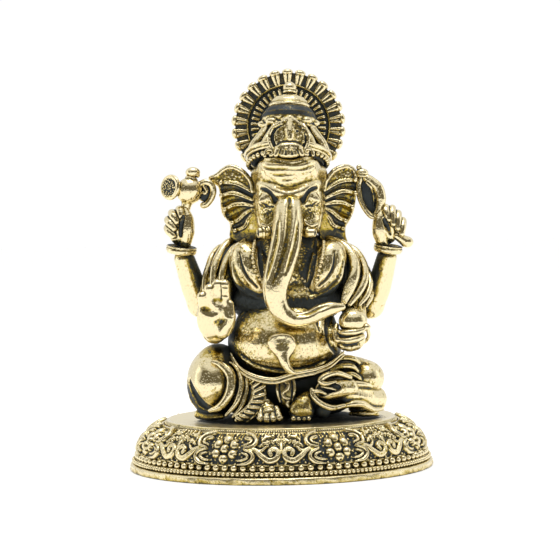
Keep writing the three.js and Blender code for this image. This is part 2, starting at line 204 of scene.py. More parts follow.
class Ring:
    """A torus round an axis through centre. Its section is radial wide and tall along the axis."""

    def __init__(self, centre, axis, radius, radial, tall=None):
        self.centre, self.radius, self.radial = np.array(centre, float), radius, radial
        self.axis = np.array(axis, float) / np.linalg.norm(axis)
        self.tall = radial if tall is None else tall
        reach = radius + radial
        self.low, self.high = self.centre - reach, self.centre + reach

    def distance(self, x, y, z):
        x, y, z = x - self.centre[0], y - self.centre[1], z - self.centre[2]
        h = x * self.axis[0] + y * self.axis[1] + z * self.axis[2]
        r = np.sqrt(np.maximum(x * x + y * y + z * z - h * h, 0)) - self.radius
        near = np.sqrt((r / self.radial) ** 2 + (h / self.tall) ** 2)
        return (near - 1) * min(self.radial, self.tall)


def outline_distance(u, v, points):
    """Signed distance in a plane to a closed outline, negative inside."""
    shape = np.broadcast(u, v).shape
    best = np.full(shape, 1e9)
    inside = np.zeros(shape, bool)
    for a, b in zip(points, np.roll(points, -1, 0)):
        e = b - a
        t = clamped(((u - a[0]) * e[0] + (v - a[1]) * e[1]) / (e @ e + 1e-12))
        best = np.minimum(best, (u - a[0] - t * e[0]) ** 2 + (v - a[1] - t * e[1]) ** 2)
        crosses = (a[1] > v) != (b[1] > v)
        rise = e[1] if abs(e[1]) > 1e-12 else 1e-12
        inside ^= crosses & (u < a[0] + (v - a[1]) * e[0] / rise)
    return np.where(inside, -1, 1) * np.sqrt(best)


class Slab:
    """A round-edged panel with an [x, z] outline, thick along Y about the surface y = lie(x, z)."""

    def __init__(self, outline, lie, thick, soft=0.3):
        self.outline = smooth_curve(list(outline) + [outline[0]], 0.5)[0][:-1]
        self.lie, self.thick, self.soft = lie, thick, soft
        x, z = self.outline.T
        y = lie(x, z)
        self.low = np.array([x.min(), y.min() - thick * 1.5, z.min()])
        self.high = np.array([x.max(), y.max() + thick * 1.5, z.max()])

    def distance(self, x, y, z):
        flat = outline_distance(x, z, self.outline) + self.soft
        deep = np.abs(y - self.lie(x, z)) - self.thick / 2 + self.soft
        outside = np.sqrt(np.maximum(flat, 0) ** 2 + np.maximum(deep, 0) ** 2)
        return outside + np.minimum(np.maximum(flat, deep), 0) - self.soft


class Turned:
    """A solid of revolution: a closed outline of [radius, height] about an axis through seat."""

    def __init__(self, seat, axis, profile, soft=0.12):
        self.seat, self.axis = np.array(seat, float), np.array(axis, float) / np.linalg.norm(axis)
        self.profile, self.soft = np.array(profile, float), soft
        span = self.profile[:, 0].max()
        ends = self.seat + self.axis * np.array([[self.profile[:, 1].min()], [self.profile[:, 1].max()]])
        self.low, self.high = ends.min(0) - span, ends.max(0) + span

    def distance(self, x, y, z):
        x, y, z = x - self.seat[0], y - self.seat[1], z - self.seat[2]
        h = x * self.axis[0] + y * self.axis[1] + z * self.axis[2]
        r = np.sqrt(np.maximum(x * x + y * y + z * z - h * h, 0))
        return outline_distance(r, h, self.profile) - self.soft


class Clay:
    """Signed distances in mm on a grid over a CAD node's box with some room round it."""

    def __init__(self, node, room=1.5, step=0.15, low=None, high=None):
        if low is None:
            low, high = box_mm(node)
            low, high = low - room, high + room
        self.node = node
        self.low, self.step = np.array(low, float), step
        shape = np.ceil((np.array(high) - self.low) / step).astype(int) + 1
        self.field = np.full(shape, FAR, np.float32)

    def span(self, low, high):
        """First and last-but-one grid numbers that cover a box."""
        start = np.clip(np.floor((low - self.low) / self.step).astype(int), 0, self.field.shape)
        stop = np.clip(np.ceil((high - self.low) / self.step).astype(int) + 1, 0, self.field.shape)
        return start, stop

    def axes(self, start, stop):
        x, y, z = [self.low[k] + self.step * np.arange(start[k], stop[k]) for k in range(3)]
        return [a.astype(np.float32) for a in (x[:, None, None], y[None, :, None], z[None, None, :])]

    def measure(self, shape, margin):
        """The shape's distances on the part of the grid within margin of it."""
        start, stop = self.span(shape.low - margin, shape.high + margin)
        if (stop <= start).any():
            return None, None
        where = tuple(slice(a, b) for a, b in zip(start, stop))
        if not isinstance(shape, Limb):
            found = shape.distance(*self.axes(start, stop))
            return where, np.broadcast_to(found, self.field[where].shape)
        found = np.full(self.field[where].shape, FAR, np.float32)
        for low, high, i in shape.parts(margin):
            first, last = self.span(low, high)
            first, last = np.maximum(first, start), np.minimum(last, stop)
            if (last <= first).any():
                continue
            inner = tuple(slice(a, b) for a, b in zip(first - start, last - start))
            found[inner] = np.minimum(found[inner], shape.part_distance(i, *self.axes(first, last)))
        return where, found

    def add(self, *shapes, blend=0.3):
        for shape in shapes:
            where, d = self.measure(shape, blend + 3 * self.step)
            if where is not None:
                self.field[where] = soft_min(self.field[where], d, blend)
        return self

    def cut(self, *shapes, blend=0.15):
        for shape in shapes:
            where, d = self.measure(shape, blend + 3 * self.step)
            if where is not None:
                self.field[where] = -soft_min(-self.field[where], d, blend)
        return self

    def front(self, x, z):
        """Y of the frontmost skin at each x, z, or nan where there is none."""
        i = np.clip(np.round((x - self.low[0]) / self.step).astype(int), 0, self.field.shape[0] - 1)
        k = np.clip(np.round((z - self.low[2]) / self.step).astype(int), 0, self.field.shape[2] - 1)
        column = self.field[i, :, k]
        j = np.argmax(column < 0, axis=1)
        there = column[np.arange(len(j)), j] < 0
        before = column[np.arange(len(j)), np.maximum(j - 1, 0)]
        here = column[np.arange(len(j)), j]
        part = np.where(before > here, -here / (before - here + 1e-9), 0)
        return np.where(there, self.low[1] + self.step * (j - part), np.nan)

    def on_skin(self, path, radii, sink):
        """Limbs along an [x, z] path laid on the front of the clay and sunk into it by sink."""
        line, where = smooth_curve([[x, 0, z] for x, z in path], 0.25)
        radius = spread_radii(radii, where)
        y = self.front(line[:, 0], line[:, 2]) + sink
        good = ~np.isnan(y)
        if good.sum() < 2:
            return []
        y[good] = np.convolve(np.pad(y[good], 2, "edge"), np.ones(5) / 5, "valid")
        line[:, 1] = y
        runs = np.split(np.arange(len(y)), np.where(np.diff(good.astype(int)) != 0)[0] + 1)
        runs = [run for run in runs if good[run[0]] and len(run) > 1]
        return [Limb(line[run], list(radius[run]), spacing=9) for run in runs]

    def emboss(self, path, radii, sink=0.0, blend=0.12):
        """Raises a round ridge along an [x, z] path on the front."""
        return self.add(*self.on_skin(path, radii, sink), blend=blend)

    def engrave(self, path, radii, sink=0.0, blend=0.08):
        """Cuts a round groove along an [x, z] path on the front."""
        return self.cut(*self.on_skin(path, radii, sink), blend=blend)

    def keep_above(self, height):
        """Cuts the clay flat at a height."""
        z = self.low[2] + self.step * np.arange(self.field.shape[2])
        self.field = np.maximum(self.field, (height - z)[None, None, :].astype(np.float32))
        return self

    def skin(self):
        """The surface's points in mm and its four-sided faces, facing out."""
        f = self.field
        for axis in range(3):
            edge = [slice(None)] * 3
            for end in (0, -1):
                edge[axis] = end
                f[tuple(edge)] = np.maximum(f[tuple(edge)], self.step * 0.5)
        inside = f < 0
        n = np.array(f.shape)
        corners = list(np.ndindex(2, 2, 2))
        shifted = lambda c: inside[tuple(slice(c[k], n[k] - 1 + c[k]) for k in range(3))]
        count = sum(shifted(c).astype(np.int8) for c in corners)
        active = (count > 0) & (count < 8)
        cell = np.argwhere(active)
        value = {c: f[cell[:, 0] + c[0], cell[:, 1] + c[1], cell[:, 2] + c[2]] for c in corners}
        total, hits = np.zeros((len(cell), 3)), np.zeros(len(cell))
        for a in corners:
            for axis in range(3):
                if a[axis]:
                    continue
                b = tuple(1 if k == axis else a[k] for k in range(3))
                va, vb = value[a], value[b]
                crossing = (va < 0) != (vb < 0)
                t = np.where(crossing, va / np.where(va == vb, 1, va - vb), 0)
                point = np.array(a, float) + t[:, None] * (np.arange(3) == axis)
                total += point * crossing[:, None]
                hits += crossing
        points = self.low + self.step * (cell + total / hits[:, None])
        index = np.full(active.shape, -1, np.int64)
        index[active] = np.arange(len(cell))
        faces = []
        for axis in range(3):
            u, v = (axis + 1) % 3, (axis + 2) % 3
            here = [slice(1, -1)] * 3
            here[axis] = slice(0, -1)
            there = [slice(1, -1)] * 3
            there[axis] = slice(1, None)
            first, second = inside[tuple(here)], inside[tuple(there)]
            p = np.argwhere(first != second)
            flip = second[tuple(p.T)]
            p[:, u] += 1
            p[:, v] += 1
            du, dv = np.eye(3, dtype=int)[u], np.eye(3, dtype=int)[v]
            quad = np.stack([index[tuple((p - s).T)] for s in (0 * du, du, du + dv, dv)], 1)
            quad[flip] = quad[flip][:, ::-1]
            faces.append(quad)
        return points, np.concatenate(faces)


def soft_min(a, b, blend):
    if blend <= 0:
        return np.minimum(a, b)
    h = np.maximum(blend - np.abs(a - b), 0) / blend
    return np.minimum(a, b) - h * h * blend / 4


# ------------------------------------------------------------------ meshes
def links(faces):
    pairs = np.concatenate([faces[:, [i, (i + 1) % faces.shape[1]]] for i in range(faces.shape[1])])
    return np.unique(np.sort(pairs, 1), axis=0)


def neighbour_mean(values, pairs, n):
    first, second = pairs.T
    total = np.stack([np.bincount(first, column[second], n) + np.bincount(second, column[first], n)
                      for column in values.T], 1)
    count = np.bincount(pairs.ravel(), minlength=n)
    return total / np.maximum(count, 1)[:, None]


def relax(points, pairs, rounds):
    """Evens out the skin without shrinking it."""
    for _ in range(rounds):
        for push in (0.55, -0.53):
            points = points + push * (neighbour_mean(points, pairs, len(points)) - points)
    return points


def normals_of(points, faces):
    a, b, c = points[faces[:, 0]], points[faces[:, 1]], points[faces[:, -1]]
    flat = np.cross(b - a, c - a)
    total = np.zeros_like(points)
    for i in range(faces.shape[1]):
        for k in range(3):
            total[:, k] += np.bincount(faces[:, i], flat[:, k], len(points))
    return total / (np.linalg.norm(total, axis=1, keepdims=True) + 1e-12)


def hollowness(points, normals, pairs):
    """How hollow the skin is at each point, in 1/mm: above 0 in a groove, below 0 on an edge."""
    lift = ((neighbour_mean(points, pairs, len(points)) - points) * normals).sum(1)
    span = np.linalg.norm(points[pairs[:, 0]] - points[pairs[:, 1]], axis=1)
    bend = 4 * lift / (span.mean() ** 2)
    for _ in range(2):
        bend = 0.5 * bend + 0.5 * neighbour_mean(bend[:, None], pairs, len(points))[:, 0]
    return np.clip(bend, -3, 3)


def piece(node, points, faces, material, slot="antique_gold", relief=None):
    """A finished mesh from mm points, standing for a CAD node. relief is 1 where the metal is bare and
    unshaded; below 1 it is darkened by patina and, on some pieces, by painted shade.
    """
    mesh = bpy.data.meshes.new(node)
    mesh.vertices.add(len(points))
    mesh.vertices.foreach_set("co", ((points + ORIGIN) * MM).astype(np.float32).ravel())
    mesh.loops.add(faces.size)
    mesh.loops.foreach_set("vertex_index", faces.astype(np.int32).ravel())
    mesh.polygons.add(len(faces))
    starts = np.arange(0, faces.size, faces.shape[1], dtype=np.int32)
    mesh.polygons.foreach_set("loop_start", starts)
    mesh.update(calc_edges=True)
    mesh.shade_smooth()
    hollow = hollowness(points, normals_of(points, faces), links(faces))
    # The mask holds patina and, on some pieces, painted shade.
    clean_and_unshaded = np.ones(len(points)) if relief is None else relief
    for name, values in (("hollow", hollow), ("relief", clean_and_unshaded)):
        attribute = mesh.attributes.new(name, "FLOAT", "POINT")
        attribute.data.foreach_set("value", values.astype(np.float32))
    mesh.materials.append(material)
    made = bpy.data.objects.new(node, mesh)
    bpy.context.scene.collection.objects.link(made)
    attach(made, "root")
    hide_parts(node)


def finish_clay(clay, material, rounds=2, rough=None, slot="antique_gold", clean_and_unshaded=None):
    """Skins the clay as its node's piece.

    rough(points) is how far each point is pushed out, in mm. clean(points) is 1 where the metal is
    bare and 0 where it is blackened, by patina and, on some pieces, by painted shade.
    """
    points, faces = clay.skin()
    points = relax(points, links(faces), rounds)
    if rough is not None:
        points = points + normals_of(points, faces) * rough(points)[:, None]
    piece(clay.node, points, faces, material, slot, None if clean_and_unshaded is None else clean_and_unshaded(points))


def lathe(profile, sides=256, wave=None):
    """A closed turned mesh about Z. wave(angle, row share) gives a change of radius."""
    profile = np.array(profile, float)
    angle = np.arange(sides) / sides * 2 * math.pi
    rows = len(profile)
    radius = np.repeat(profile[:, :1], sides, 1)
    height = np.repeat(profile[:, 1:], sides, 1)
    if wave is not None:
        radius = radius + wave(angle[None, :], np.arange(rows)[:, None])
    points = np.stack([radius * np.cos(angle), radius * np.sin(angle), height], -1).reshape(-1, 3)
    i, j = np.meshgrid(np.arange(rows), np.arange(sides), indexing="ij")
    a, b = i * sides + j, i * sides + (j + 1) % sides
    down = ((i + 1) % rows) * sides
    c, d = down + (j + 1) % sides, down + j
    return points, np.stack([a, b, c, d], -1).reshape(-1, 4)


def sphere(rings=8, sides=14):
    """A unit sphere of four-sided faces, its poles drawn in to tiny rings."""
    tilt = np.linspace(0.02, math.pi - 0.02, rings + 1)
    points, faces = lathe(np.stack([np.sin(tilt), -np.cos(tilt)], 1), sides)
    return points, faces[: rings * sides]


def scatter(unit, places, scales):
    """Copies of a mesh moved to places and scaled."""
    points, faces = unit
    all_points = [points * s + p for p, s in zip(places, scales)]
    all_faces = [faces + i * len(points) for i in range(len(places))]
    return np.concatenate(all_points), np.concatenate(all_faces)


def joined(*meshes):
    points, faces, start = [], [], 0
    for p, f in meshes:
        points.append(p)
        faces.append(f + start)
        start += len(p)
    return np.concatenate(points), np.concatenate(faces)


def swept(mesh, places):
    """Copies of a mesh under 4x4 matrices."""
    points, faces = mesh
    return joined(*[(points @ m[:3, :3].T + m[:3, 3], faces) for m in places])


def around(count, centre, start=0.0):
    """Matrices that turn a piece made at the top of the halo round its centre, in the XZ plane."""
    for i in range(count):
        turn = np.array(Matrix.Rotation(start + i / count * 2 * math.pi, 4, "Y"))
        move = np.eye(4)
        move[:3, 3] = centre
        yield move @ turn


# ------------------------------------------------------------------ materials
class Nodes:
    """Short names for making shader nodes in one tree."""

    def __init__(self, tree):
        self.tree = tree

    def new(self, kind, **settings):
        node = self.tree.nodes.new(kind)
        for key, value in settings.items():
            setattr(node, key, value)
        return node

    def plug(self, socket, value):
        if isinstance(value, bpy.types.NodeSocket):
            self.tree.links.new(value, socket)
        else:
            socket.default_value = value

    def math(self, operation, a, b):
        node = self.new("ShaderNodeMath", operation=operation)
        self.plug(node.inputs[0], a)
        self.plug(node.inputs[1], b)
        return node.outputs[0]

    def weighted(self, *terms):
        """The sum of (value, weight) pairs."""
        total = None
        for value, weight in terms:
            term = self.math("MULTIPLY", value, weight)
            total = term if total is None else self.math("ADD", total, term)
        return total

    def occlusion(self, reach):
        """How closed in the surface is within reach, in metres: 0 in the open, 1 in a deep gap."""
        node = self.new("ShaderNodeAmbientOcclusion", samples=6)
        node.inputs["Distance"].default_value = reach
        return self.math("SUBTRACT", 1.0, node.outputs["AO"])

    def ramp(self, value, low, high, to_low=0.0, to_high=1.0):
        node = self.new("ShaderNodeMapRange", interpolation_type="SMOOTHSTEP")
        for socket, v in zip(node.inputs, (value, low, high, to_low, to_high)):
            self.plug(socket, v)
        return node.outputs[0]

    def mix(self, share, a, b):
        node = self.new("ShaderNodeMix", data_type="RGBA")
        self.plug(node.inputs[0], share)
        self.plug(node.inputs[6], a)
        self.plug(node.inputs[7], b)
        return node.outputs[2]

    def noise(self, coords, scale, detail=3.0, rough=0.55):
        node = self.new("ShaderNodeTexNoise")
        self.plug(node.inputs["Vector"], coords)
        node.inputs["Scale"].default_value = scale
        node.inputs["Detail"].default_value = detail
        node.inputs["Roughness"].default_value = rough
        return node.outputs["Fac"]

    def reading(self, name):
        return self.new("ShaderNodeAttribute", attribute_name=name).outputs["Fac"]


# DEEP partly stands for a painted reflection of gold in gold, OLIVE for a painted reflection of the dark
# room, and the last, black colour is patina and also painted shade where the shade terms reach it.
WORN = (0.90, 0.785, 0.49, 1)  # the four colours run from the rubbed heights down to the hollows
DEEP = (0.54, 0.395, 0.055, 1)
OLIVE = (0.135, 0.108, 0.048, 1)
SOOT_AND_SHADE = (0.074, 0.086, 0.090, 1)


def metal(name, soot_and_shade=0.5, warm=0.5, gloss=0.15, grit=0.3, from_relief=0.0):
    """Antiqued cast gold: bright where it is rubbed, deep gold lower down, blackened in the hollows.
    Part of the darkening is painted shade where other parts close the surface in, and the deep gold and
    olive steps partly stand for painted reflections.

    soot and warm are how soon the metal turns black and deep gold, gloss is its least roughness,
    grit is how flecked and pitted it is, and from_relief is how far a piece's own mask darkens it;
    that mask holds patina and, on some pieces, painted shade.
    """
    material = bpy.data.materials.new(name)
    material.use_nodes = True
    n = Nodes(material.node_tree)
    shader = n.tree.nodes["Principled BSDF"]
    coords = n.new("ShaderNodeTexCoord").outputs["Object"]
    mottle = n.math("SUBTRACT", n.noise(coords, 650, 4), 0.5)
    speck = n.math("SUBTRACT", n.noise(coords, 2600, 2), 0.5)
    flecks = n.ramp(n.noise(coords, 1500, 4, 0.65), 0.55, 0.63)
    patches = n.ramp(n.noise(coords, 240, 3), 0.50, 0.72, 0.0, 0.17)
    hollow = n.reading("hollow")
    groove = n.math("MAXIMUM", hollow, 0.0)
    edge = n.math("MAXIMUM", n.math("MULTIPLY", hollow, -1.0), 0.0)
    masked = n.math("SUBTRACT", 1.0, n.reading("relief"))
    # Patina and painted shade together: the tight occlusion, grooves, patches and flecks are patina and
    # wear, the 9 mm occlusion is painted shade where other parts close the surface in, and the piece's mask
    # adds patina and, on some pieces, painted shade.
    patina_and_shade = n.weighted(
        (n.occlusion(0.0016), 0.60),
        (groove, 0.28),
        (patches, 1.0),
        (edge, -0.16),
        # painted shade where other parts close the surface in within 9 mm
        (n.occlusion(0.009), 0.54),
        (flecks, 0.22 + 0.36 * grit),
        (mottle, 0.68),
        (speck, 0.30),
        (masked, from_relief),
    )
    black_start = 0.68 - 0.42 * soot_and_shade
    # the deep gold step: partly the metal's deeper tone, partly a painted reflection of gold in gold
    deepened = n.ramp(patina_and_shade, 0.36 - 0.38 * warm, 0.66 - 0.40 * warm)
    # the olive step: partly tarnish, partly a painted reflection of the dark room
    tarnish_and_dark_reflection = n.ramp(patina_and_shade, black_start, black_start + 0.10)
    blackened = n.ramp(patina_and_shade, black_start + 0.16, black_start + 0.36)
    gold = n.mix(tarnish_and_dark_reflection, n.mix(deepened, WORN, DEEP), OLIVE)
    n.plug(shader.inputs["Base Color"], n.mix(blackened, gold, SOOT_AND_SHADE))
    shader.inputs["Metallic"].default_value = 1.0
    dulled = n.weighted((blackened, 0.34), (deepened, 0.10), (mottle, 0.10))
    n.plug(shader.inputs["Roughness"], n.math("ADD", dulled, gloss))
    pits = n.ramp(n.noise(coords, 3800, 2), 0.60, 0.74, 0.0, -1.0)
    bump = n.new("ShaderNodeBump")
    bump.inputs["Strength"].default_value = 0.6
    bump.inputs["Distance"].default_value = 0.00018
    skin = n.weighted((n.noise(coords, 420, 2), 0.6), (n.noise(coords, 1500, 3), 0.4), (pits, grit))
    n.plug(bump.inputs["Height"], skin)
    n.plug(shader.inputs["Normal"], bump.outputs[0])
    return material


POLISHED = metal("gold_polished", soot_and_shade=0.32, warm=0.44, gloss=0.10, grit=0.25, from_relief=1.2)
SATIN = metal("gold_satin", soot_and_shade=0.50, warm=0.66, gloss=0.13, grit=0.45, from_relief=1.2)
CARVED = metal("gold_carved", soot_and_shade=0.68, warm=0.74, gloss=0.15, grit=0.6, from_relief=1.2)
BLACKENED = metal("gold_blackened", soot_and_shade=1.0, warm=0.95, gloss=0.24, grit=0.7, from_relief=1.2)
BAND = metal("gold_band", soot_and_shade=0.38, warm=0.60, gloss=0.18, grit=0.4, from_relief=0.62)
BASE = metal("gold_base", soot_and_shade=0.45, warm=0.40, gloss=0.17, grit=0.3)
PLATE = metal("gold_plate", soot_and_shade=0.0, warm=-0.6, gloss=0.30, grit=0.3, from_relief=0.55)
HALO_METAL = metal("gold_halo", soot_and_shade=0.50, warm=0.60, gloss=0.13, grit=0.35, from_relief=0.95)
FOOT_METAL = metal("gold_foot", soot_and_shade=0.05, warm=0.28, gloss=0.26, grit=0.2)
EAR_METAL = metal("gold_ear", soot_and_shade=0.02, warm=0.80, gloss=0.13, grit=0.35, from_relief=1.2)


# ------------------------------------------------------------------ base
def rounded(profile, radius):
    """A closed [radius, height] profile with its corners off the axis rounded."""
    profile = np.array(profile, float)
    out = []
    for before, here, after in zip(np.roll(profile, 1, 0), profile, np.roll(profile, -1, 0)):
        if here[0] < 0.01:
            out.append(here)
            continue
        a, b = before - here, after - here
        a *= min(radius / np.linalg.norm(a), 0.45)
        b *= min(radius / np.linalg.norm(b), 0.45)
        for t in np.linspace(0, 1, 4):
            out.append(here + a * (1 - t) ** 2 + b * t**2)
    return np.array(out)


def base_plinth():
    """The domed body. Its flat seat is darkened round the figure's footprint: painted shade under the
    figure, with grime along its ragged edge.
    """
    seat = [[reach, PLATE_TOP] for reach in np.linspace(PLATE_RADIUS - 0.8, 0.6, 42)]
    lip = PLATE_RADIUS - 0.4
    wall = [[0.02, 0], [23.3, 0], [23.3, 3.4], [20.7, 8.0], [lip, 8.2], [lip, PLATE_TOP]]
    points, faces = lathe(rounded(wall + seat + [[0.02, PLATE_TOP]], 0.2))
    # Painted shade round and under the figure, with a grainy ragged edge for the grime at its foot.
    shade_and_grime_middle, shade_and_grime_size = (1.5, -4.2), (15.2, 11.6)
    reach = np.hypot(*[(points[:, k] - shade_and_grime_middle[k]) / shade_and_grime_size[k] for k in range(2)])
    reach = reach + 0.16 * (grains(points, 1.5, 7) - 0.4)
    shade = np.where(points[:, 2] > PLATE_TOP - 0.2, clamped((reach - 0.92) / 0.20), 1)
    piece("base_plinth", points, faces, PLATE, relief=shade)


def base_foot_ring():
    profile = [[24.0, 0], [FOOT_RADIUS, 0.0], [FOOT_RADIUS, 1.1], [26.3, 1.32], [24.0, 1.35]]
    wobble = lambda angle, row: 0.05 * np.sin(angle * 37 + row) * np.sin(angle * 11)
    piece("base_foot_ring", *lathe(rounded(profile, 0.3), 720, wobble), FOOT_METAL)


def bead_row(node, radius, height, count, bead, ledge):
    angle = np.arange(count) / count * 2 * math.pi
    places = np.stack([radius * np.cos(angle), radius * np.sin(angle), np.full(count, height)], 1)
    scale = bead * (1 + 0.10 * (lattice(np.stack([np.arange(count)] * 3, 1), 4) - 0.5))
    beads = scatter(sphere(7, 12), places, scale)
    piece(node, *joined(lathe(rounded(ledge, 0.1), 360), beads), BASE)


def stroke(u, v, path, width, height, split=0.0):
    """The height of a rounded line along a path. A split line has a groove down its middle."""
    line = smooth_curve(path, 0.25)[0]
    widths = spread_radii(width, np.linspace(0, 1, len(line)))
    best = np.zeros(u.shape)
    for a, b, half_width in zip(line[:-1], line[1:], widths):
        e = b - a
        t = clamped(((u - a[0]) * e[0] + (v - a[1]) * e[1]) / (e @ e + 1e-9))
        away = np.hypot(u - a[0] - t * e[0], v - a[1] - t * e[1])
        crown = height * np.sqrt(clamped(1 - (away / half_width) ** 2))
        best = np.maximum(best, crown * (1 - split * np.exp(-((away / 0.14) ** 2))))
    return best


def petal(u, v, at, towards, long, wide, height):
    """A domed petal at a place, pointing along an angle and notched at its outer end."""
    c, s = math.cos(towards), math.sin(towards)
    a = (u - at[0]) * c + (v - at[1]) * s
    b = -(u - at[0]) * s + (v - at[1]) * c
    dome = height * np.sqrt(clamped(1 - (a / long) ** 2 - (b / wide) ** 2))
    notch = 0.55 * height * np.exp(-((b / 0.16) ** 2)) * clamped((a / long - 0.35) * 3)
    return np.maximum(dome - notch, 0)


FLOWERS = 8
BAND_RADIUS = 24.4
BAND_MIDDLE = 5.65
REACH = 1.72  # from a flower's middle to its petals


def band_relief(u, w, half):
    """Relief of a flower and half of each vine beside it. u runs round the base, w upwards, in mm."""
    v = 1.2 * (w + 0.1)  # the band leans back, so its pattern is drawn on its slope
    relief = petal(u, v, (0, 0), 0, 0.84, 0.84, 0.95)
    for towards in (90, 30, 150, -90, -30, -150):
        a = math.radians(towards)
        at = (REACH * math.cos(a), REACH * math.sin(a))
        relief = np.maximum(relief, petal(u, v, at, a, 0.86, 0.90, 0.85))
    u = np.abs(u)
    lines = (  # path, half widths, height and split
        ([[3.5, 0.1], [4.8, 0.4], [5.3, 1.3], [4.6, 2.2], [3.2, 2.5]], [0.24, 0.40, 0.46, 0.40, 0.26],
         0.95, 0.0),
        ([[3.3, 0.6], [4.2, 0.85], [4.45, 1.3], [4.0, 1.7], [3.2, 1.8]], [0.2, 0.34, 0.38, 0.32, 0.2],
         0.8, 0.0),
        ([[3.5, -0.2], [4.7, -0.7], [5.0, -1.6], [4.2, -2.4], [2.6, -2.7]],
         [0.24, 0.40, 0.46, 0.40, 0.26], 0.95, 0.0),
        ([[3.2, -0.7], [4.0, -1.0], [4.15, -1.5], [3.5, -1.9], [2.6, -2.05]],
         [0.2, 0.34, 0.38, 0.32, 0.2], 0.8, 0.0),
        ([[3.4, -0.1], [5.2, -0.2], [6.4, -1.2], [7.6, -2.0], [8.8, -1.6], [9.1, -0.6], [8.4, 0.0],
          [7.7, -0.4], [7.9, -1.0]],
         [0.3, 0.5, 0.62, 0.60, 0.46, 0.44], 0.9, 0.45),
        ([[5.0, 0.0], [6.2, -0.3], [7.0, 0.3]], [0.3, 0.36, 0.22], 0.7, 0.0),
        ([[6.0, 0.5], [6.7, 1.0], [7.6, 1.1]], [0.2, 0.34, 0.2], 0.6, 0.0),
        ([[6.3, 1.5], [6.9, 2.1], [7.7, 2.1]], [0.3, 0.40, 0.2], 0.6, 0.0),
        ([[8.2, 1.2], [8.8, 1.6], [9.4, 1.5]], [0.3, 0.38, 0.2], 0.6, 0.0),
        ([[half, 1.0], [half, -0.8]], [0.4, 0.3], 0.6, 0.0),
        ([[8.9, -2.3], [9.0, -2.8]], [0.24, 0.28], 0.5, 0.0),
    )
    for path, width, height, split in lines:
        relief = np.maximum(relief, stroke(u, v, path, width, height, split))
    ground = np.stack([u, v, 0 * u], -1)
    leaf = clamped((u - 5.8) / 0.8) * clamped((v - 0.3) / 0.6)
    fine = 0.28 + 0.34 * leaf + 0.16 * clamped((-1.6 - v) / 0.8)
    return np.maximum(relief, fine * grains(ground, 0.55, 3) + 0.16 * leaf)


def base_floral_band():
    """The carved band: a height field laid on a curved profile, with the same flower all the way round."""
    columns, rows = 195, 58  # for each flower
    edge = [[25.3, 3.0], [25.25, 3.9], [24.6, 5.3], [23.6, 6.4], [22.3, 7.3], [21.0, 7.85]]
    edge = smooth_curve(edge, 0.05)[0]
    reach = np.append(0, np.cumsum(np.linalg.norm(np.diff(edge, axis=0), axis=1)))
    spots = np.linspace(0, reach[-1], rows)
    profile = np.stack([np.interp(spots, reach, edge[:, k]) for k in range(2)], 1)
    along = np.gradient(profile, axis=0)
    outward = np.stack([along[:, 1], -along[:, 0]], 1) / np.linalg.norm(along, axis=1, keepdims=True)
    half = BAND_RADIUS * math.pi / FLOWERS
    u, w = np.meshgrid(np.linspace(-half, half, columns, endpoint=False), profile[:, 1] - BAND_MIDDLE)
    relief = band_relief(u, w, half)
    border = np.minimum(np.arange(rows), np.arange(rows)[::-1])[:, None]
    relief = np.where(border < 3, np.maximum(relief * (border / 3), 0.28), relief)
    relief = np.tile(relief, (1, FLOWERS))
    sides = columns * FLOWERS
    angle = np.arange(sides) / sides * 2 * math.pi
    radius = profile[:, :1] + outward[:, :1] * relief
    height = profile[:, 1:] + outward[:, 1:] * relief
    back = np.array([[20.9, 8.0], [23.6, 3.2]])
    radius = np.vstack([radius, np.repeat(back[:, :1], sides, 1)])
    height = np.vstack([height, np.repeat(back[:, 1:], sides, 1)])
    depth = np.vstack([relief, np.full((2, sides), 0.5)])
    _, faces = lathe(np.zeros((len(radius), 2)), sides)
    points = np.stack([radius * np.cos(angle), radius * np.sin(angle), height], -1).reshape(-1, 3)
    shade = clamped(depth.ravel() / 0.32)
    piece("base_floral_band", points, faces, BAND, "oxidised_gold", relief=shade)


RIBS = 330


def base_top_rim():
    """A smooth lip over a row of fine upright ribs."""
    profile = [[19.6, 7.9], [20.75, 7.7], [20.75, 8.3], [20.45, 8.45], [20.35, 8.75]]
    profile = rounded(profile + [[19.75, PLATE_TOP + 0.02]], 0.16)
    share = clamped((8.42 - profile[:, 1]) / 0.05) * (profile[:, 0] > 20.5)
    ribs = lambda angle, row: -0.24 * (1 - np.abs(np.sin(angle * RIBS / 2)) ** 0.8) * share[row]
    points, faces = lathe(profile, 8 * RIBS, ribs)
    radius = np.hypot(points[:, 0], points[:, 1]).reshape(len(profile), -1)
    shade = 1 - clamped((radius.max(axis=1, keepdims=True) - radius) / 0.16)
    piece("base_top_rim", points, faces, BAND, relief=shade.ravel())


# ------------------------------------------------------------------ body
MIDDLE = 2.2  # the figure sits a little to its own left of the base's middle


def mirrored(path, middle):
    """The path mirrored about the plane x = middle."""
    return [[2 * middle - p[0], *p[1:]] for p in path]


def graining(size, height, seed, where=None):
    """Cast granules over the skin, strongest where where(points) is 1."""
    def push(points):
        raised = height * (grains(points, size, seed) - 0.4)
        return raised if where is None else raised * where(points)
    return push


def oval(points, x, z, wide, tall):
    """How far each point lies from the middle of an oval on the front: 1 on the oval itself."""
    return np.hypot((points[:, 0] - x) / wide, (points[:, 2] - z) / tall)


def near(points, path, width):
    """1 on a path drawn as [x, z] on the front, falling to 0 at the width."""
    line = smooth_curve([[x, 0, z] for x, z in path], 0.3)[0]
    gap = np.full(len(points), np.inf)
    for x, _, z in line:
        gap = np.minimum(gap, np.hypot(points[:, 0] - x, points[:, 2] - z))
    return clamped(1.5 * (1 - gap / width)) * (points[:, 1] < 0)


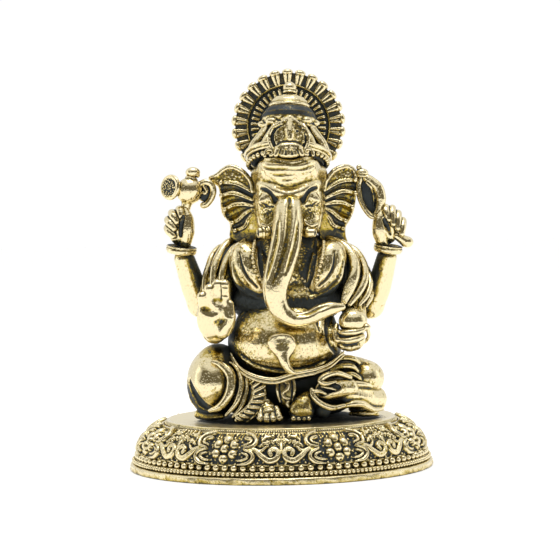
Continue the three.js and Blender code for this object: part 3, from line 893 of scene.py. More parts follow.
def torso():
    """The upper body: two chest lobes with raised hems beside the trunk, and a grainy collar.

    Its clay is handed back, because the garland lies on it.
    """
    clay = Clay("torso", 2.5, 0.16)
    clay.add(Ball([1.8, 0.6, 34.0], [9.3, 8.9, 8.4]), Ball([1.6, -0.6, 29.6], [10.2, 8.8, 5.0]),
             blend=0.8)
    clay.add(Ball([2.0, -0.6, 40.2], [4.8, 4.8, 3.2]), blend=1.5)
    clay.add(Ball([-4.4, 5.2, 36.0], [4.2, 3.4, 5.0]), Ball([8.2, 5.2, 36.0], [4.2, 3.4, 5.0]), blend=1.5)
    clay.cut(Limb([[1.9, 10.6, 41.0], [1.9, 10.3, 35.0], [1.9, 9.2, 28.0]], [0.8, 1.1, 0.8]), blend=1.2)
    clay.add(Ball([-4.6, -5.8, 34.9], [3.6, 3.7, 5.7], [0, -22, 0]), blend=0.35)
    clay.add(Ball([8.2, -5.8, 34.8], [3.5, 3.7, 5.7], [0, 24, 0]), blend=0.35)
    for hem in (
        [[-7.9, 36.6], [-7.4, 34.2], [-6.2, 32.3], [-4.6, 31.0], [-2.8, 30.2]],
        [[11.5, 36.4], [10.8, 33.8], [9.4, 32.0], [7.7, 30.9], [5.6, 30.2]],
    ):
        clay.emboss(hem, [0.2, 0.5, 0.62, 0.6, 0.4], 0.1, 0.3)
    for fold in (
        [[-6.6, 38.2], [-6.1, 35.8], [-5.1, 33.8], [-3.6, 32.2]],
        [[9.9, 38.2], [9.6, 35.6], [8.6, 33.8], [7.0, 32.2]],
    ):
        clay.engrave(fold, [0.1, 0.2, 0.2, 0.1], 0.12, 0.3)
    for gap in (
        [[-3.2, 40.2], [-3.0, 37.6], [-2.6, 34.6], [-1.6, 32.0]],
        [[6.9, 40.2], [6.4, 37.6], [5.8, 34.6], [5.0, 32.0]],
    ):
        clay.engrave(gap, [0.2, 0.5, 0.5, 0.3], 0.0, 0.25)
    lobes = lambda p: clamped(1.5 - oval(p, 1.8, 37, 6.0, 4.0)) * (p[:, 1] < 0)
    # Darkened strips beside the trunk: patina in the gaps there, widened into painted shade from the trunk.
    left_gully = lambda p: near(p, [[5.2, 40.4], [5.4, 37.5], [4.6, 34.0]], 1.3)
    gully = lambda p: left_gully(p) + near(p, [[-3.0, 39.8], [-2.6, 36.0]], 0.8)
    edge = lambda p: 30.0 + 0.32 * np.maximum(np.abs(p[:, 0] - 1.8) - 3.5, 0) ** 1.3
    front = lambda p: clamped((p[:, 2] - edge(p)) / 1.0 + 0.5) - 0.42 * clamped(gully(p))
    clean_and_unshaded = lambda p: np.where(p[:, 1] > 0, 1.0, clamped(front(p)))
    rough = lambda p: lobes(p) + 1.4 * clamped(31.0 - p[:, 2]) * (p[:, 1] < 0)
    finish_clay(clay, CARVED, 2, graining(0.5, 0.09, 5, rough), clean_and_unshaded=clean_and_unshaded)
    return clay


def belly():
    """The round belly, creased at its sides and foot, and darker and grainy towards its border."""
    clay = Clay("belly", 1.0, 0.16)
    clay.add(Ball([1.0, -3.6, 22.3], [10.1, 9.1, 7.3]), Ball([1.2, -3.0, 26.0], [8.6, 7.6, 4.8]),
             blend=0.8)
    flank = [[9.9, 28.4], [8.9, 26.6], [8.4, 24.6], [8.8, 22.4], [9.8, 20.6]]
    clay.engrave(flank, [0.3, 0.5, 0.5, 0.3], 0.0, 0.5)
    clay.engrave([[7.2, 28.4], [6.8, 26.4], [7.0, 24.6]], [0.2, 0.35, 0.1], 0.0, 0.4)
    clay.engrave([[-7.0, 26.4], [-6.0, 27.8], [-4.2, 28.8]], [0.2, 0.45, 0.2], 0.0, 0.3)
    clay.engrave([[-6.6, 20.3], [-4.0, 18.7], [0.0, 17.8], [4.5, 18.0], [8.0, 19.2]], 0.35, 0.0, 0.4)
    rim = lambda p: clamped((oval(p, 2.4, 22.0, 8.6, 6.6) - 0.62) * 4)
    edge = lambda p: clamped((oval(p, 1.2, 22.6, 9.6, 7.0) - 0.84) / 0.16)
    # The front's darkening towards its border is partly a painted reflection where the belly turns away,
    # partly patina.
    clean_and_unshaded = lambda p: 1 - np.where(p[:, 1] < -3, 0.40, 0.0) * edge(p)
    finish_clay(clay, SATIN, 2, graining(0.5, 0.035, 8, rim), clean_and_unshaded=clean_and_unshaded)


def dhoti_seat():
    """The lap: a low mound with folds round its back."""
    clay = Clay("dhoti_seat", 1.2, 0.18)
    clay.add(Ball([1.2, 2.6, 14.6], [14.1, 9.3, 7.4]), blend=0.5)
    heights = (19.6, 17.6, 15.4, 13.0, 10.6)
    reaches = (0.66, 0.90, 0.995, 0.98, 0.82)
    for height, reach, thick in zip(heights, reaches, (0.7, 0.75, 0.75, 0.8, 0.9)):
        ring = []
        for a in np.linspace(0.05, math.pi - 0.05, 15):
            x, y = 14.1 * reach * math.cos(a), 9.3 * reach * math.sin(a)
            ring.append([1.2 + x, 2.6 + y, height + 0.8 * math.sin(3 * a)])
        clay.add(Limb(ring, thick), blend=0.5)
    clay.keep_above(box_mm("dhoti_seat")[0][2])
    behind = lambda p: clamped((p[:, 1] + 3.0) / 3.0)
    finish_clay(clay, CARVED, 2, clean_and_unshaded=behind)


def waist_pleats():
    """The gathered end of the garment between the feet, with an edge at each side and a curl."""
    clay = Clay("waist_pleats", 1.4, 0.11)
    clay.add(Ball([1.0, -10.8, 14.0], [1.7, 1.0, 2.7]), blend=0.4)
    for top, bulge, foot in ((-0.4, -0.5, -0.1), (2.3, 2.5, 2.0)):
        edge = [[top, -11.2, 16.4], [bulge, -11.6, 14.4], [foot, -11.4, 12.4]]
        clay.add(Limb(edge, [0.22, 0.3, 0.2]), blend=0.1)
    curl = [[0.6, -11.8, 16.2], [1.4, -12.1, 15.5], [1.2, -12.3, 14.6], [0.4, -12.2, 14.0],
            [0.7, -12.3, 13.2], [1.6, -12.2, 13.0]]
    clay.add(Limb(curl, [0.26, 0.34, 0.34, 0.3, 0.3, 0.22]), blend=0.1)
    clay.add(Limb([[1.5, -12.0, 12.6], [1.2, -12.3, 12.2], [1.4, -12.3, 11.7]], 0.36), blend=0.1)
    finish_clay(clay, BLACKENED, 1, slot="oxidised_gold")


def snake_belt():
    """Two strands side by side below the belly."""
    clay = Clay("snake_belt", 1.0, 0.1)
    route = [[-8.5, -7.4, 20.4], [-7.2, -9.9, 18.4], [-5.6, -11.5, 17.3], [-3.4, -12.6, 16.5],
             [-0.8, -13.0, 16.2], [2.0, -13.2, 17.0], [4.4, -12.9, 17.4], [6.3, -12.2, 17.7],
             [8.6, -10.9, 18.5], [11.2, -8.0, 20.3]]
    for lift in (0.3, -0.3):
        strand = [[x, y + 0.3 * abs(lift), z + lift] for x, y, z in route]
        clay.add(Limb(strand, [0.18, 0.28, 0.34, 0.3, 0.18]), blend=0.04)
    finish_clay(clay, CARVED, 2)


def snake_hood():
    """The snake's spread head on the belly, with two eyes, and its neck down to the belt."""
    clay = Clay("snake_hood", 1.2, 0.11)
    hood = [[0.4, 24.5], [1.9, 24.2], [2.8, 23.1], [2.7, 21.8], [2.0, 20.5], [1.3, 19.4], [0.4, 19.6],
            [-0.5, 20.8], [-1.5, 21.8], [-2.0, 22.9], [-1.4, 24.0]]
    lie = lambda x, z: -13.5 + 0.05 * (x - 0.4) ** 2 - 0.13 * (z - 22)
    clay.add(Slab(hood, lie, 1.2, 0.45), blend=0.3)
    clay.add(Ball([0.45, -13.3, 22.4], [2.1, 1.0, 1.9], [-8, 0, 0]), blend=0.8)
    neck = [[0.5, -13.6, 21.2], [0.8, -14.0, 19.6], [1.4, -14.0, 18.4], [2.4, -13.9, 17.6]]
    clay.add(Limb(neck, [1.1, 0.85, 0.65, 0.4]), blend=0.7)
    clay.cut(Ball([-0.35, -14.75, 22.6], [0.55, 0.4, 0.24], [0, 25, 0]), Ball([1.4, -14.65, 22.9], 0.2),
             blend=0.06)
    clay.add(Ball([0.4, -14.0, 23.9], [0.8, 0.4, 0.3]), blend=0.1)
    finish_clay(clay, POLISHED, 2)


def bead_garland(chest):
    """Rows of small studs: one down each side of the trunk, and one under each side of the collar."""
    rows = (
        ([[-3.9, 40.4], [-4.3, 38.0], [-4.0, 35.6], [-3.1, 33.6]], 0.36),
        ([[8.2, 40.4], [7.9, 38.0], [7.3, 35.6], [6.5, 32.8]], 0.36),
        ([[3.6, 31.4], [4.6, 31.9], [5.4, 31.4]], 0.34),
        ([[4.2, 33.6], [4.9, 32.8]], 0.32),
    )
    parts = []
    for path, size in rows:
        line = smooth_curve([[x, 0, z] for x, z in path], 0.05)[0]
        line[:, 1] = np.nan_to_num(chest.front(line[:, 0], line[:, 2]), nan=-8.0) - 0.10
        reach = np.append(0, np.cumsum(np.linalg.norm(np.diff(line, axis=0), axis=1)))
        spots = np.arange(0, reach[-1], size * 2.3)
        places = np.stack([np.interp(spots, reach, line[:, k]) for k in range(3)], 1)
        parts.append(scatter(sphere(7, 10), places, np.full(len(places), size)))
    piece("bead_garland", *joined(*parts), CARVED, "oxidised_gold")


# ------------------------------------------------------------------ legs
def right_knee():
    clay = Clay("right_knee", 1.2, 0.15)
    clay.add(Ball([-11.5, -4.0, 15.4], [5.0, 6.4, 6.2]), blend=0.5)
    clay.add(Ball([-10.6, -4.2, 19.2], [3.2, 4.0, 3.0], [0, 20, 0]), blend=1.2)
    clay.add(Limb([[-14.4, -6.2, 10.0], [-12.6, -8.0, 9.7], [-10.2, -9.4, 9.9]], [0.8, 0.7, 0.5]),
             blend=0.5)
    hollow = [[-15.9, 16.2], [-15.2, 14.0], [-14.2, 12.4], [-12.8, 11.3], [-10.8, 10.9]]
    clay.engrave(hollow, [0.3, 0.9, 1.1, 0.8, 0.3], -0.1, 0.25)
    for crease in (
        [[-15.8, 15.6], [-15.2, 13.6], [-14.0, 11.6]],
        [[-16.1, 13.8], [-15.6, 12.4], [-14.6, 11.2]],
    ):
        clay.emboss(crease, [0.1, 0.26, 0.1], 0.1, 0.1)
    clay.keep_above(box_mm("right_knee")[0][2])

    def clean_and_unshaded(p):
        """Darker on top, a painted reflection of the dark room, darker on the inner side and at the foot,
        and black in the outer fold.
        """
        x, y, z = p.T
        fold = clamped(1.7 - np.hypot((x + 15.0 - 0.55 * (13.4 - z)) / 1.1, (z - 13.2) / 2.3))
        darker_share = clamped((z - 19.4) / 1.4) + 1.3 * clamped((x + 10.4) / 1.0) + 1.4 * (z < 10.6)
        return 1 - (y < -3) * np.clip(0.30 * darker_share + 0.75 * fold, 0, 0.9)

    finish_clay(clay, POLISHED, 2, clean_and_unshaded=clean_and_unshaded)


def right_shin_folds():
    """One broad and three fine crescent folds over the shin."""
    clay = Clay("right_shin_folds", 1.5, 0.12)
    clay.add(Limb([[-9.0, -5.4, 15.0], [-7.0, -7.0, 14.4], [-4.8, -8.4, 13.8]], [3.2, 3.0, 2.6]),
             blend=0.5)
    folds = (
        ([[-11.8, -8.5, 19.4], [-10.2, -9.2, 18.9], [-8.7, -10.0, 17.4], [-8.4, -10.5, 15.8],
          [-8.9, -10.8, 13.6], [-10.4, -10.6, 11.7], [-12.2, -9.8, 11.0]],
         [0.4, 0.75, 0.92, 0.92, 0.88, 0.75, 0.4]),
        ([[-8.6, -8.6, 19.2], [-7.2, -9.8, 17.9], [-6.7, -11.0, 15.4], [-7.6, -11.7, 12.4],
          [-9.4, -11.4, 10.3]], [0.25, 0.42, 0.5, 0.46, 0.3]),
        ([[-7.0, -8.8, 18.2], [-6.0, -9.9, 16.9], [-5.8, -11.1, 14.4], [-6.8, -11.8, 11.7],
          [-8.2, -11.6, 10.0]], [0.25, 0.38, 0.44, 0.42, 0.3]),
        ([[-5.8, -8.8, 17.4], [-4.9, -9.9, 15.9], [-4.9, -11.0, 13.6], [-5.6, -11.6, 11.8]],
         [0.2, 0.32, 0.34, 0.25]),
    )
    for path, radii in folds:
        clay.add(Limb(path, radii), blend=0.06)
    clay.add(Ball([-9.7, -11.0, 12.5], 0.5), blend=0.1)
    finish_clay(clay, SATIN, 2)


def right_hem_band():
    """A hem gathered into ribs between two thin edges."""
    clay = Clay("right_hem_band", 1.5, 0.11)
    rim = [[-4.4, -9.6, 16.6], [-3.7, -11.0, 15.0], [-3.7, -12.0, 13.2], [-4.8, -12.6, 11.4],
           [-6.2, -12.4, 10.1], [-7.2, -11.8, 9.4]]
    clay.add(Limb(rim, [0.6, 0.85, 0.95, 0.95, 0.8], scale=(1, 0.9, 1)), blend=0.2)
    line = smooth_curve(rim, 0.42)[0]
    ahead = np.gradient(line, axis=0)
    across = np.stack([ahead[:, 2], np.zeros(len(ahead)), -ahead[:, 0]], 1)
    across /= np.linalg.norm(across, axis=1, keepdims=True)
    for at, side in zip(line[1:-1:3], across[1:-1:3]):
        inner = at - side * 0.8 + [0.1, -0.7, 0.5]
        outer = at + side * 0.8 + [-0.1, -0.7, -0.35]
        clay.add(Limb([inner, at + [0, -1.05, 0.1], outer], 0.36), blend=0.05)
    for sign in (-1, 1):
        clay.add(Limb(line + sign * 0.95 * across + [0, -0.45, 0], 0.26, spacing=9), blend=0.06)
    clay.keep_above(PLATE_TOP + 0.3)
    finish_clay(clay, CARVED, 1)


def right_foot():
    clay = Clay("right_foot", 1.3, 0.11)
    clay.add(Limb([[-3.6, -9.6, 12.0], [-2.6, -11.4, 11.6], [-1.9, -12.6, 10.8]], [1.5, 1.5, 1.2]),
             blend=0.4)
    clay.add(Ball([-2.0, -12.4, 10.6], [2.0, 1.5, 1.3]), blend=0.3)
    for x, z, size in ((-3.5, 9.8, 0.62), (-2.4, 9.7, 0.72), (-1.3, 9.7, 0.72), (-0.2, 9.9, 0.66)):
        clay.add(Limb([[x * 0.8 - 0.6, -12.8, z + 1.6], [x, -13.8, z]], [size * 0.8, size]), blend=0.12)
    for x, z, size in ((-2.8, 11.5, 0.55), (-1.6, 11.7, 0.6), (-2.3, 12.6, 0.5)):
        clay.add(Ball([x, -13.0 + 0.5 * (z - 11), z], size), blend=0.12)
    clay.keep_above(box_mm("right_foot")[0][2] - 0.2)
    finish_clay(clay, SATIN, 1, graining(0.6, 0.06, 51))


def left_knee():
    clay = Clay("left_knee", 1.4, 0.14)
    clay.add(Ball([13.0, -1.8, 15.6], [4.3, 5.2, 3.8]), Ball([14.9, -4.0, 15.7], [3.55, 4.0, 3.2]),
             blend=0.8)
    for path, radii in (
        ([[9.4, -7.8, 19.0], [11.2, -7.4, 19.5], [13.0, -6.6, 19.2], [14.2, -6.0, 18.2]],
         [0.3, 0.5, 0.55, 0.3]),
        ([[9.0, -8.8, 17.7], [10.8, -8.6, 18.2], [12.6, -7.8, 18.0], [13.8, -7.2, 16.9]],
         [0.3, 0.5, 0.55, 0.3]),
        ([[11.0, -8.8, 16.6], [12.4, -8.4, 16.8], [13.7, -7.9, 16.0], [14.6, -7.4, 14.9]],
         [0.3, 0.45, 0.5, 0.3]),
    ):
        clay.add(Limb(path, radii), blend=0.2)
    darker_share = lambda p: clamped((15.0 - p[:, 0]) / 2.0) * (p[:, 1] < -3)
    finish_clay(clay, SATIN, 2, clean_and_unshaded=lambda p: 1 - 0.3 * darker_share(p))


def left_shin_drape():
    clay = Clay("left_shin_drape", 1.4, 0.13)
    shin = [[16.4, -3.6, 11.9], [14.4, -6.0, 12.4], [12.0, -8.2, 13.1], [10.4, -9.4, 13.4]]
    clay.add(Limb(shin, [2.45, 2.6, 2.2, 1.5]), blend=0.5)
    for path, radii in (
        ([[17.4, -4.4, 13.9], [15.6, -7.4, 14.7], [13.2, -9.1, 15.1], [11.0, -10.0, 15.4]],
         [0.3, 0.5, 0.55, 0.35]),
        ([[17.9, -4.6, 10.2], [16.1, -7.6, 10.4], [14.2, -9.2, 11.5], [12.4, -10.4, 11.7],
          [10.4, -11.2, 11.3]], [0.3, 0.55, 0.65, 0.6, 0.4]),
    ):
        clay.add(Limb(path, radii), blend=0.5)
    clay.keep_above(box_mm("left_shin_drape")[0][2])
    shadow = lambda p: clamped((12.8 - p[:, 0]) / 1.6) * (p[:, 1] < -4)
    finish_clay(clay, POLISHED, 2, clean_and_unshaded=lambda p: 1 - 0.45 * shadow(p))


def left_hem_cuff():
    """A hollow cuff: an upper lip that rolls over, a lower lip, and two thin folds between them."""
    clay = Clay("left_hem_cuff", 1.5, 0.11)
    clay.add(Limb([[12.0, -9.0, 14.4], [9.8, -10.2, 14.4], [8.0, -11.0, 14.2]], [1.7, 1.9, 2.0]),
             blend=0.4)
    clay.cut(Limb([[5.2, -13.4, 14.2], [7.6, -12.4, 14.6], [10.0, -12.0, 14.8]], [1.5, 1.2, 0.6]),
             blend=0.15)
    lips_and_folds = (
        ([[12.2, -9.8, 16.3], [9.8, -11.2, 17.2], [7.8, -12.2, 16.8], [6.9, -12.6, 16.0],
          [7.8, -12.6, 15.5], [9.6, -12.0, 15.8]], [0.4, 0.5, 0.55, 0.5, 0.42, 0.2]),
        ([[5.4, -12.7, 14.6], [5.7, -13.0, 13.4], [6.8, -13.0, 12.2], [8.8, -12.6, 11.3],
          [11.0, -11.6, 11.6]], [0.35, 0.5, 0.55, 0.55, 0.35]),
        ([[5.6, -12.8, 14.2], [6.8, -12.8, 14.2], [8.4, -12.3, 13.4]], [0.4, 0.34, 0.15]),
        ([[7.2, -12.0, 15.0], [8.8, -11.8, 14.6], [10.4, -11.3, 14.0]], [0.25, 0.3, 0.15]),
    )
    for path, radii in lips_and_folds:
        clay.add(Limb(path, radii), blend=0.1)
    finish_clay(clay, CARVED, 1)


def left_foot():
    clay = Clay("left_foot", 1.3, 0.11)
    clay.add(Limb([[6.8, -9.6, 12.4], [4.8, -11.2, 12.6], [3.8, -12.0, 12.2]], [1.3, 1.4, 1.4]),
             blend=0.4)
    clay.add(Ball([3.6, -12.5, 10.9], [2.2, 1.6, 2.0]), blend=0.6)
    clay.add(Limb([[4.6, -11.6, 13.0], [4.2, -12.2, 12.4], [3.8, -12.5, 11.6]], [1.1, 1.35, 1.5]),
             blend=0.6)
    for x, size in ((2.2, 0.6), (3.1, 0.56), (4.0, 0.52), (4.8, 0.48)):
        clay.add(Ball([x, -13.5, 9.6], [size * 0.9, size * 1.1, size]), blend=0.12)
    clay.add(Ball([7.3, -11.4, 10.9], [1.4, 1.2, 1.5]), blend=0.2)
    clay.keep_above(box_mm("left_foot")[0][2])
    heel = lambda p: clamped((p[:, 0] - 5.0) / 0.8)
    finish_clay(clay, CARVED, 1, clean_and_unshaded=lambda p: 0.85 - 0.40 * heel(p))


def left_lower_fold():
    clay = Clay("left_lower_fold", 1.0, 0.12)
    clay.add(Ball([14.8, -6.2, 9.8], [2.4, 1.9, 0.8]), blend=0.3)
    edge = [[12.3, -7.0, 9.7], [14.6, -8.2, 9.8], [17.0, -6.6, 9.5]]
    for lift, back in ((0.0, 0.0), (0.75, 0.5)):
        lip = [[x, y + back, z + lift] for x, y, z in edge]
        clay.add(Limb(lip, [0.4, 0.5, 0.35]), blend=0.08)
    clay.keep_above(box_mm("left_lower_fold")[0][2])
    finish_clay(clay, SATIN, 1)


# ------------------------------------------------------------------ head
def head():
    """The skull, cheeks, brows and lids, with wavy lines across the forehead."""
    clay = Clay("head", 1.9, 0.13)
    clay.add(Ball([2.2, -2.4, 48.0], [6.2, 6.2, 7.4]), Ball([2.3, -1.7, 51.8], [6.8, 6.3, 3.6]),
             blend=0.8)
    for side in (-1, 1):
        x = lambda d: MIDDLE + side * d
        clay.add(Ball([x(3.5), -4.0, 46.4], [2.7, 3.6, 5.6]),
                 Ball([x(3.0), -4.6, 43.2], [2.3, 3.4, 2.4]), blend=1.1)
    clay.add(Ball([2.2, -5.1, 52.2], [5.5, 4.0, 2.9]), Ball([2.2, -5.2, 53.6], [5.3, 4.0, 2.2]),
             blend=0.8)
    clay.add(Ball([2.2, -4.5, 50.2], [4.4, 4.2, 2.6]), blend=0.9)
    for side in (-1, 1):
        x = lambda d: MIDDLE + side * d
        brow = [[x(5.2), -5.8, 50.0], [x(3.9), -7.2, 49.6], [x(2.0), -8.5, 48.7], [x(0.3), -9.0, 48.1]]
        clay.add(Limb(brow, [0.4, 0.6, 0.8, 0.8]), blend=0.9)
        socket = [[x(5.1), 49.5], [x(4.2), 49.1], [x(3.1), 48.3], [x(2.4), 47.0]]
        clay.engrave(socket, [0.15, 0.42, 0.55, 0.4], 0.05, 0.3)
        clay.add(Ball([x(3.9), -7.1, 47.7], [1.7, 0.8, 1.0], [0, side * 32, side * -14]), blend=0.35)
        clay.engrave([[x(2.8), 46.2], [x(3.8), 46.3], [x(4.9), 46.9]], [0.08, 0.16, 0.08], 0.0, 0.2)
        clay.emboss([[x(2.6), 43.5], [x(3.6), 42.8], [x(4.8), 43.1]], [0.3, 0.4, 0.3], 0.1, 0.3)
    for z, reach in ((50.5, 2.6), (51.3, 3.8), (52.2, 4.4), (53.1, 4.5), (54.0, 4.0)):
        wave = lambda t: z + 0.7 * t * t + 0.12 * math.sin(5 * t + z)
        sag = [[MIDDLE + reach * t, wave(t)] for t in np.linspace(-1, 1, 9)]
        clay.emboss(sag, [0.2, 0.42, 0.50, 0.42, 0.2], 0.24, 0.35)
    aside = lambda p: np.abs(p[:, 0] - MIDDLE)
    cheek = lambda p: np.hypot((aside(p) - 4.0) / 1.2, (p[:, 2] - 45.6) / 1.4)
    pitted = lambda p: clamped(1.6 - cheek(p)) * (p[:, 1] < -3)
    flank = lambda p: clamped((aside(p) - 4.9) / 1.0) * (p[:, 1] < -1)
    brow = ((4.7, 49.3), (4.1, 49.0), (3.1, 48.3), (2.5, 47.2))
    brow_paths = [[[MIDDLE + side * d, z] for d, z in brow] for side in (-1, 1)]
    brows = lambda p: sum(near(p, path, 0.42) for path in brow_paths)
    clean_and_unshaded = lambda p: 1.08 - 0.3 * pitted(p) - 0.25 * flank(p) - 0.55 * brows(p)
    finish_clay(clay, SATIN, 2, graining(0.42, 0.07, 12, pitted), clean_and_unshaded=clean_and_unshaded)


def hair_knot():
    """A plain knot of seven locks at the back, which carries the halo."""
    clay = Clay("hair_knot", 0.8, 0.15)
    clay.add(Ball([2.3, 4.3, 49.8], [3.5, 2.0, 2.6]), blend=0.4)
    for i in range(7):
        x = -0.4 + 0.9 * i
        lock = [[x, 4.6, 51.8], [MIDDLE + (x - MIDDLE) * 1.15, 6.0, 49.8], [x, 5.0, 47.8]]
        clay.add(Limb(lock, [0.35, 0.45, 0.3]), blend=0.1)
    finish_clay(clay, BLACKENED, 1, slot="oxidised_gold")


def trunk():
    """Long grooves run down its front and along its end, which curls to the figure's left."""
    clay = Clay("trunk", 1.6, 0.14)
    route = [[2.2, -5.8, 48.6], [2.2, -8.0, 47.0], [2.0, -9.7, 45.2], [1.8, -11.0, 42.6],
             [1.4, -12.2, 39.4], [0.3, -13.3, 35.5], [-0.5, -13.9, 32.6], [-0.4, -14.0, 30.0],
             [0.8, -13.9, 27.8], [2.9, -13.8, 26.7], [5.2, -13.8, 27.0], [7.1, -13.7, 27.9],
             [9.0, -13.5, 28.5], [10.9, -13.2, 28.7]]
    radii = [1.6, 2.2, 2.5, 2.65, 2.65, 2.5, 2.25, 1.95, 1.6, 1.35, 1.3, 1.35, 1.2, 0.6]
    clay.add(Limb(route, radii, scale=(1, 0.9, 1)), blend=0.3)
    grooves = (
        ([[2.3, 47.6], [2.2, 46.0], [2.1, 44.0], [1.8, 41.6], [1.3, 39.2], [0.6, 37.0], [-0.2, 34.8],
          [-0.9, 33.2]],
         [0.2, 0.55, 0.62, 0.55, 0.5, 0.45, 0.38, 0.1], -0.05),
        ([[0.2, 43.6], [-0.3, 40.4], [-1.2, 37.0], [-2.0, 34.0]], [0.1, 0.45, 0.45, 0.1], -0.2),
        ([[3.7, 43.6], [3.3, 40.6], [2.4, 37.4], [1.4, 34.8]], [0.1, 0.42, 0.42, 0.1], -0.2),
    )
    for path, width, sink in grooves:
        clay.engrave(path, width, sink, 0.5)
    clay.engrave([[3.2, 27.6], [4.9, 27.8], [6.8, 28.6], [8.6, 29.1]], [0.2, 0.36, 0.36, 0.2], -0.18, 0.3)
    bridge = lambda p: clamped((p[:, 2] - 46.6) / 0.8) * clamped(1.3 - np.abs(p[:, 0] - 2.2) / 1.6)
    finish_clay(clay, POLISHED, 2, clean_and_unshaded=lambda p: 1 - 0.45 * bridge(p))


def tusk(node, root, tip, thick, rings):
    clay = Clay(node, 1.0, 0.11)
    root, tip = np.array(root), np.array(tip)
    clay.add(Limb([root, (root + tip) / 2 + [0, -0.15, -0.1], tip], [thick, thick, thick * 0.9]),
             blend=0.2)
    clay.cut(Ball(tip + (tip - root) * 0.42, thick * 0.75), blend=0.2)
    for i in range(rings):
        spot = root + (tip - root) * (0.35 + 0.45 * i)
        clay.add(Ring(spot, tip - root, thick * 0.94, 0.22), blend=0.06)
    finish_clay(clay, SATIN, 1)


def ear(node, outline, lie, rim, ribs, flip=False):
    """A fan-shaped ear: curved double ribs run out from the head side, with smooth hollows between them."""
    turn = (lambda path: mirrored(path, 2.1)) if flip else (lambda path: path)
    clay = Clay(node, 1.3, 0.12)
    clay.add(Slab(outline, lie, 1.8, 0.55), blend=0.2)
    for upper, lower in zip(ribs[:-1], ribs[1:]):
        middle = [[(a[0] + b[0]) / 2, (a[1] + b[1]) / 2] for a, b in zip(turn(upper), turn(lower))]
        gap = [math.dist(a, b) for a, b in zip(upper, lower)]
        clay.engrave(middle, [0.30 * g + 0.08 for g in gap], -0.05, 0.35)
    for rib in ribs:
        path = turn(rib)
        clay.emboss(path, [0.30, 0.40, 0.40, 0.30], 0.10, 0.12)
        clay.engrave([[x, z - 0.05] for x, z in path], [0.06, 0.13, 0.13, 0.06], 0.02, 0.05)
        clay.emboss([path[-1], [path[-1][0] * 1.001, path[-1][1] - 0.05]], [0.42, 0.42], 0.05)
    clay.emboss(turn(rim), [0.3, 0.42, 0.46, 0.46, 0.44, 0.36], -0.05)
    top = ribs[0][1][1]
    rough_top = lambda p: clamped((p[:, 2] - top - 0.5) / 0.5)
    # The ear's lower end by the neck is painted darker: a painted dark reflection there.
    neck = lambda p: clamped((42.4 - p[:, 2]) / 0.8) * (p[:, 1] < 1)
    finish_clay(clay, EAR_METAL, 2, graining(0.5, 0.05, 21, rough_top), clean_and_unshaded=lambda p: 1 - 0.5 * neck(p))


EAR_RIBS = [  # the right ear's, as [x, z] paths; the left ear's are these mirrored
    [[-4.3, 48.9], [-6.0, 50.0], [-7.6, 50.6], [-9.8, 50.7]],
    [[-4.3, 47.5], [-6.3, 48.4], [-8.0, 48.8], [-9.8, 48.4]],
    [[-4.4, 46.5], [-6.0, 46.8], [-7.7, 46.7], [-9.2, 45.9]],
    [[-4.4, 45.8], [-5.7, 45.1], [-6.9, 44.0], [-7.9, 43.5]],
    [[-4.2, 45.2], [-5.1, 44.0], [-5.8, 42.8], [-7.4, 42.1]],
]


def right_ear():
    outline = [[-4.0, 50.2], [-5.0, 52.1], [-6.4, 53.2], [-8.1, 53.6], [-9.4, 53.1], [-10.6, 52.1],
               [-12.1, 51.6], [-11.2, 50.6], [-10.3, 49.8], [-10.1, 48.4], [-9.9, 45.7], [-9.4, 44.5],
               [-8.5, 43.5], [-8.4, 42.2], [-8.4, 40.8], [-6.6, 39.6], [-4.4, 39.8], [-3.2, 41.4],
               [-3.2, 47.0]]
    lie = lambda x, z: -1.5 + 0.22 * (-4.0 - x) + 0.006 * (z - 48) ** 2
    rim = [[-12.0, 51.5], [-10.6, 52.0], [-9.2, 53.0], [-8.0, 53.4], [-6.7, 53.0], [-5.4, 52.0],
           [-4.5, 50.6], [-4.2, 49.0]]
    ear("right_ear", outline, lie, rim, EAR_RIBS)


def left_ear():
    outline = [[8.4, 50.6], [9.2, 51.8], [10.4, 52.9], [11.6, 53.4], [13.1, 53.0], [14.3, 52.2],
               [14.6, 51.0], [14.3, 48.6], [13.8, 45.5], [13.0, 43.6], [12.2, 42.3], [12.2, 40.7],
               [12.4, 39.6], [10.4, 39.2], [8.2, 39.6], [7.2, 41.4], [7.3, 47.0]]
    lie = lambda x, z: -1.5 + 0.22 * (x - 8.4) + 0.006 * (z - 48) ** 2
    rim = [[-9.9, 51.0], [-9.6, 52.4], [-8.4, 53.1], [-7.2, 52.9], [-6.0, 52.3], [-5.2, 51.4],
           [-4.5, 50.3], [-4.2, 49.0]]
    ear("left_ear", outline, lie, rim, EAR_RIBS, flip=True)


# ------------------------------------------------------------------ crown
SEAT = np.array([2.15, -1.4, 54.9])
SIDE_LEAN = 0.045  # mm to the figure's left for each mm of height
CROWN_LEAN = math.radians(9)  # backwards
BROW_LEAN = math.radians(18)
BROW_BEADS, TIER_LOBES, CUFF_BOSSES = 38, 16, 9


def leaning(lean):
    """Carries [radius, angle, height] round the crown's own axis to a place. Angle 0 faces the front."""
    def place(radius, angle, height):
        x, y = radius * math.sin(angle), -radius * math.cos(angle)
        across = SEAT[0] + x + SIDE_LEAN * height
        back = SEAT[1] + y * math.cos(lean) + height * math.sin(lean)
        up = SEAT[2] + height * math.cos(lean) - y * math.sin(lean)
        return [across, back, up]
    return place


def axis_of(lean):
    return np.array([SIDE_LEAN, math.sin(lean), math.cos(lean)])


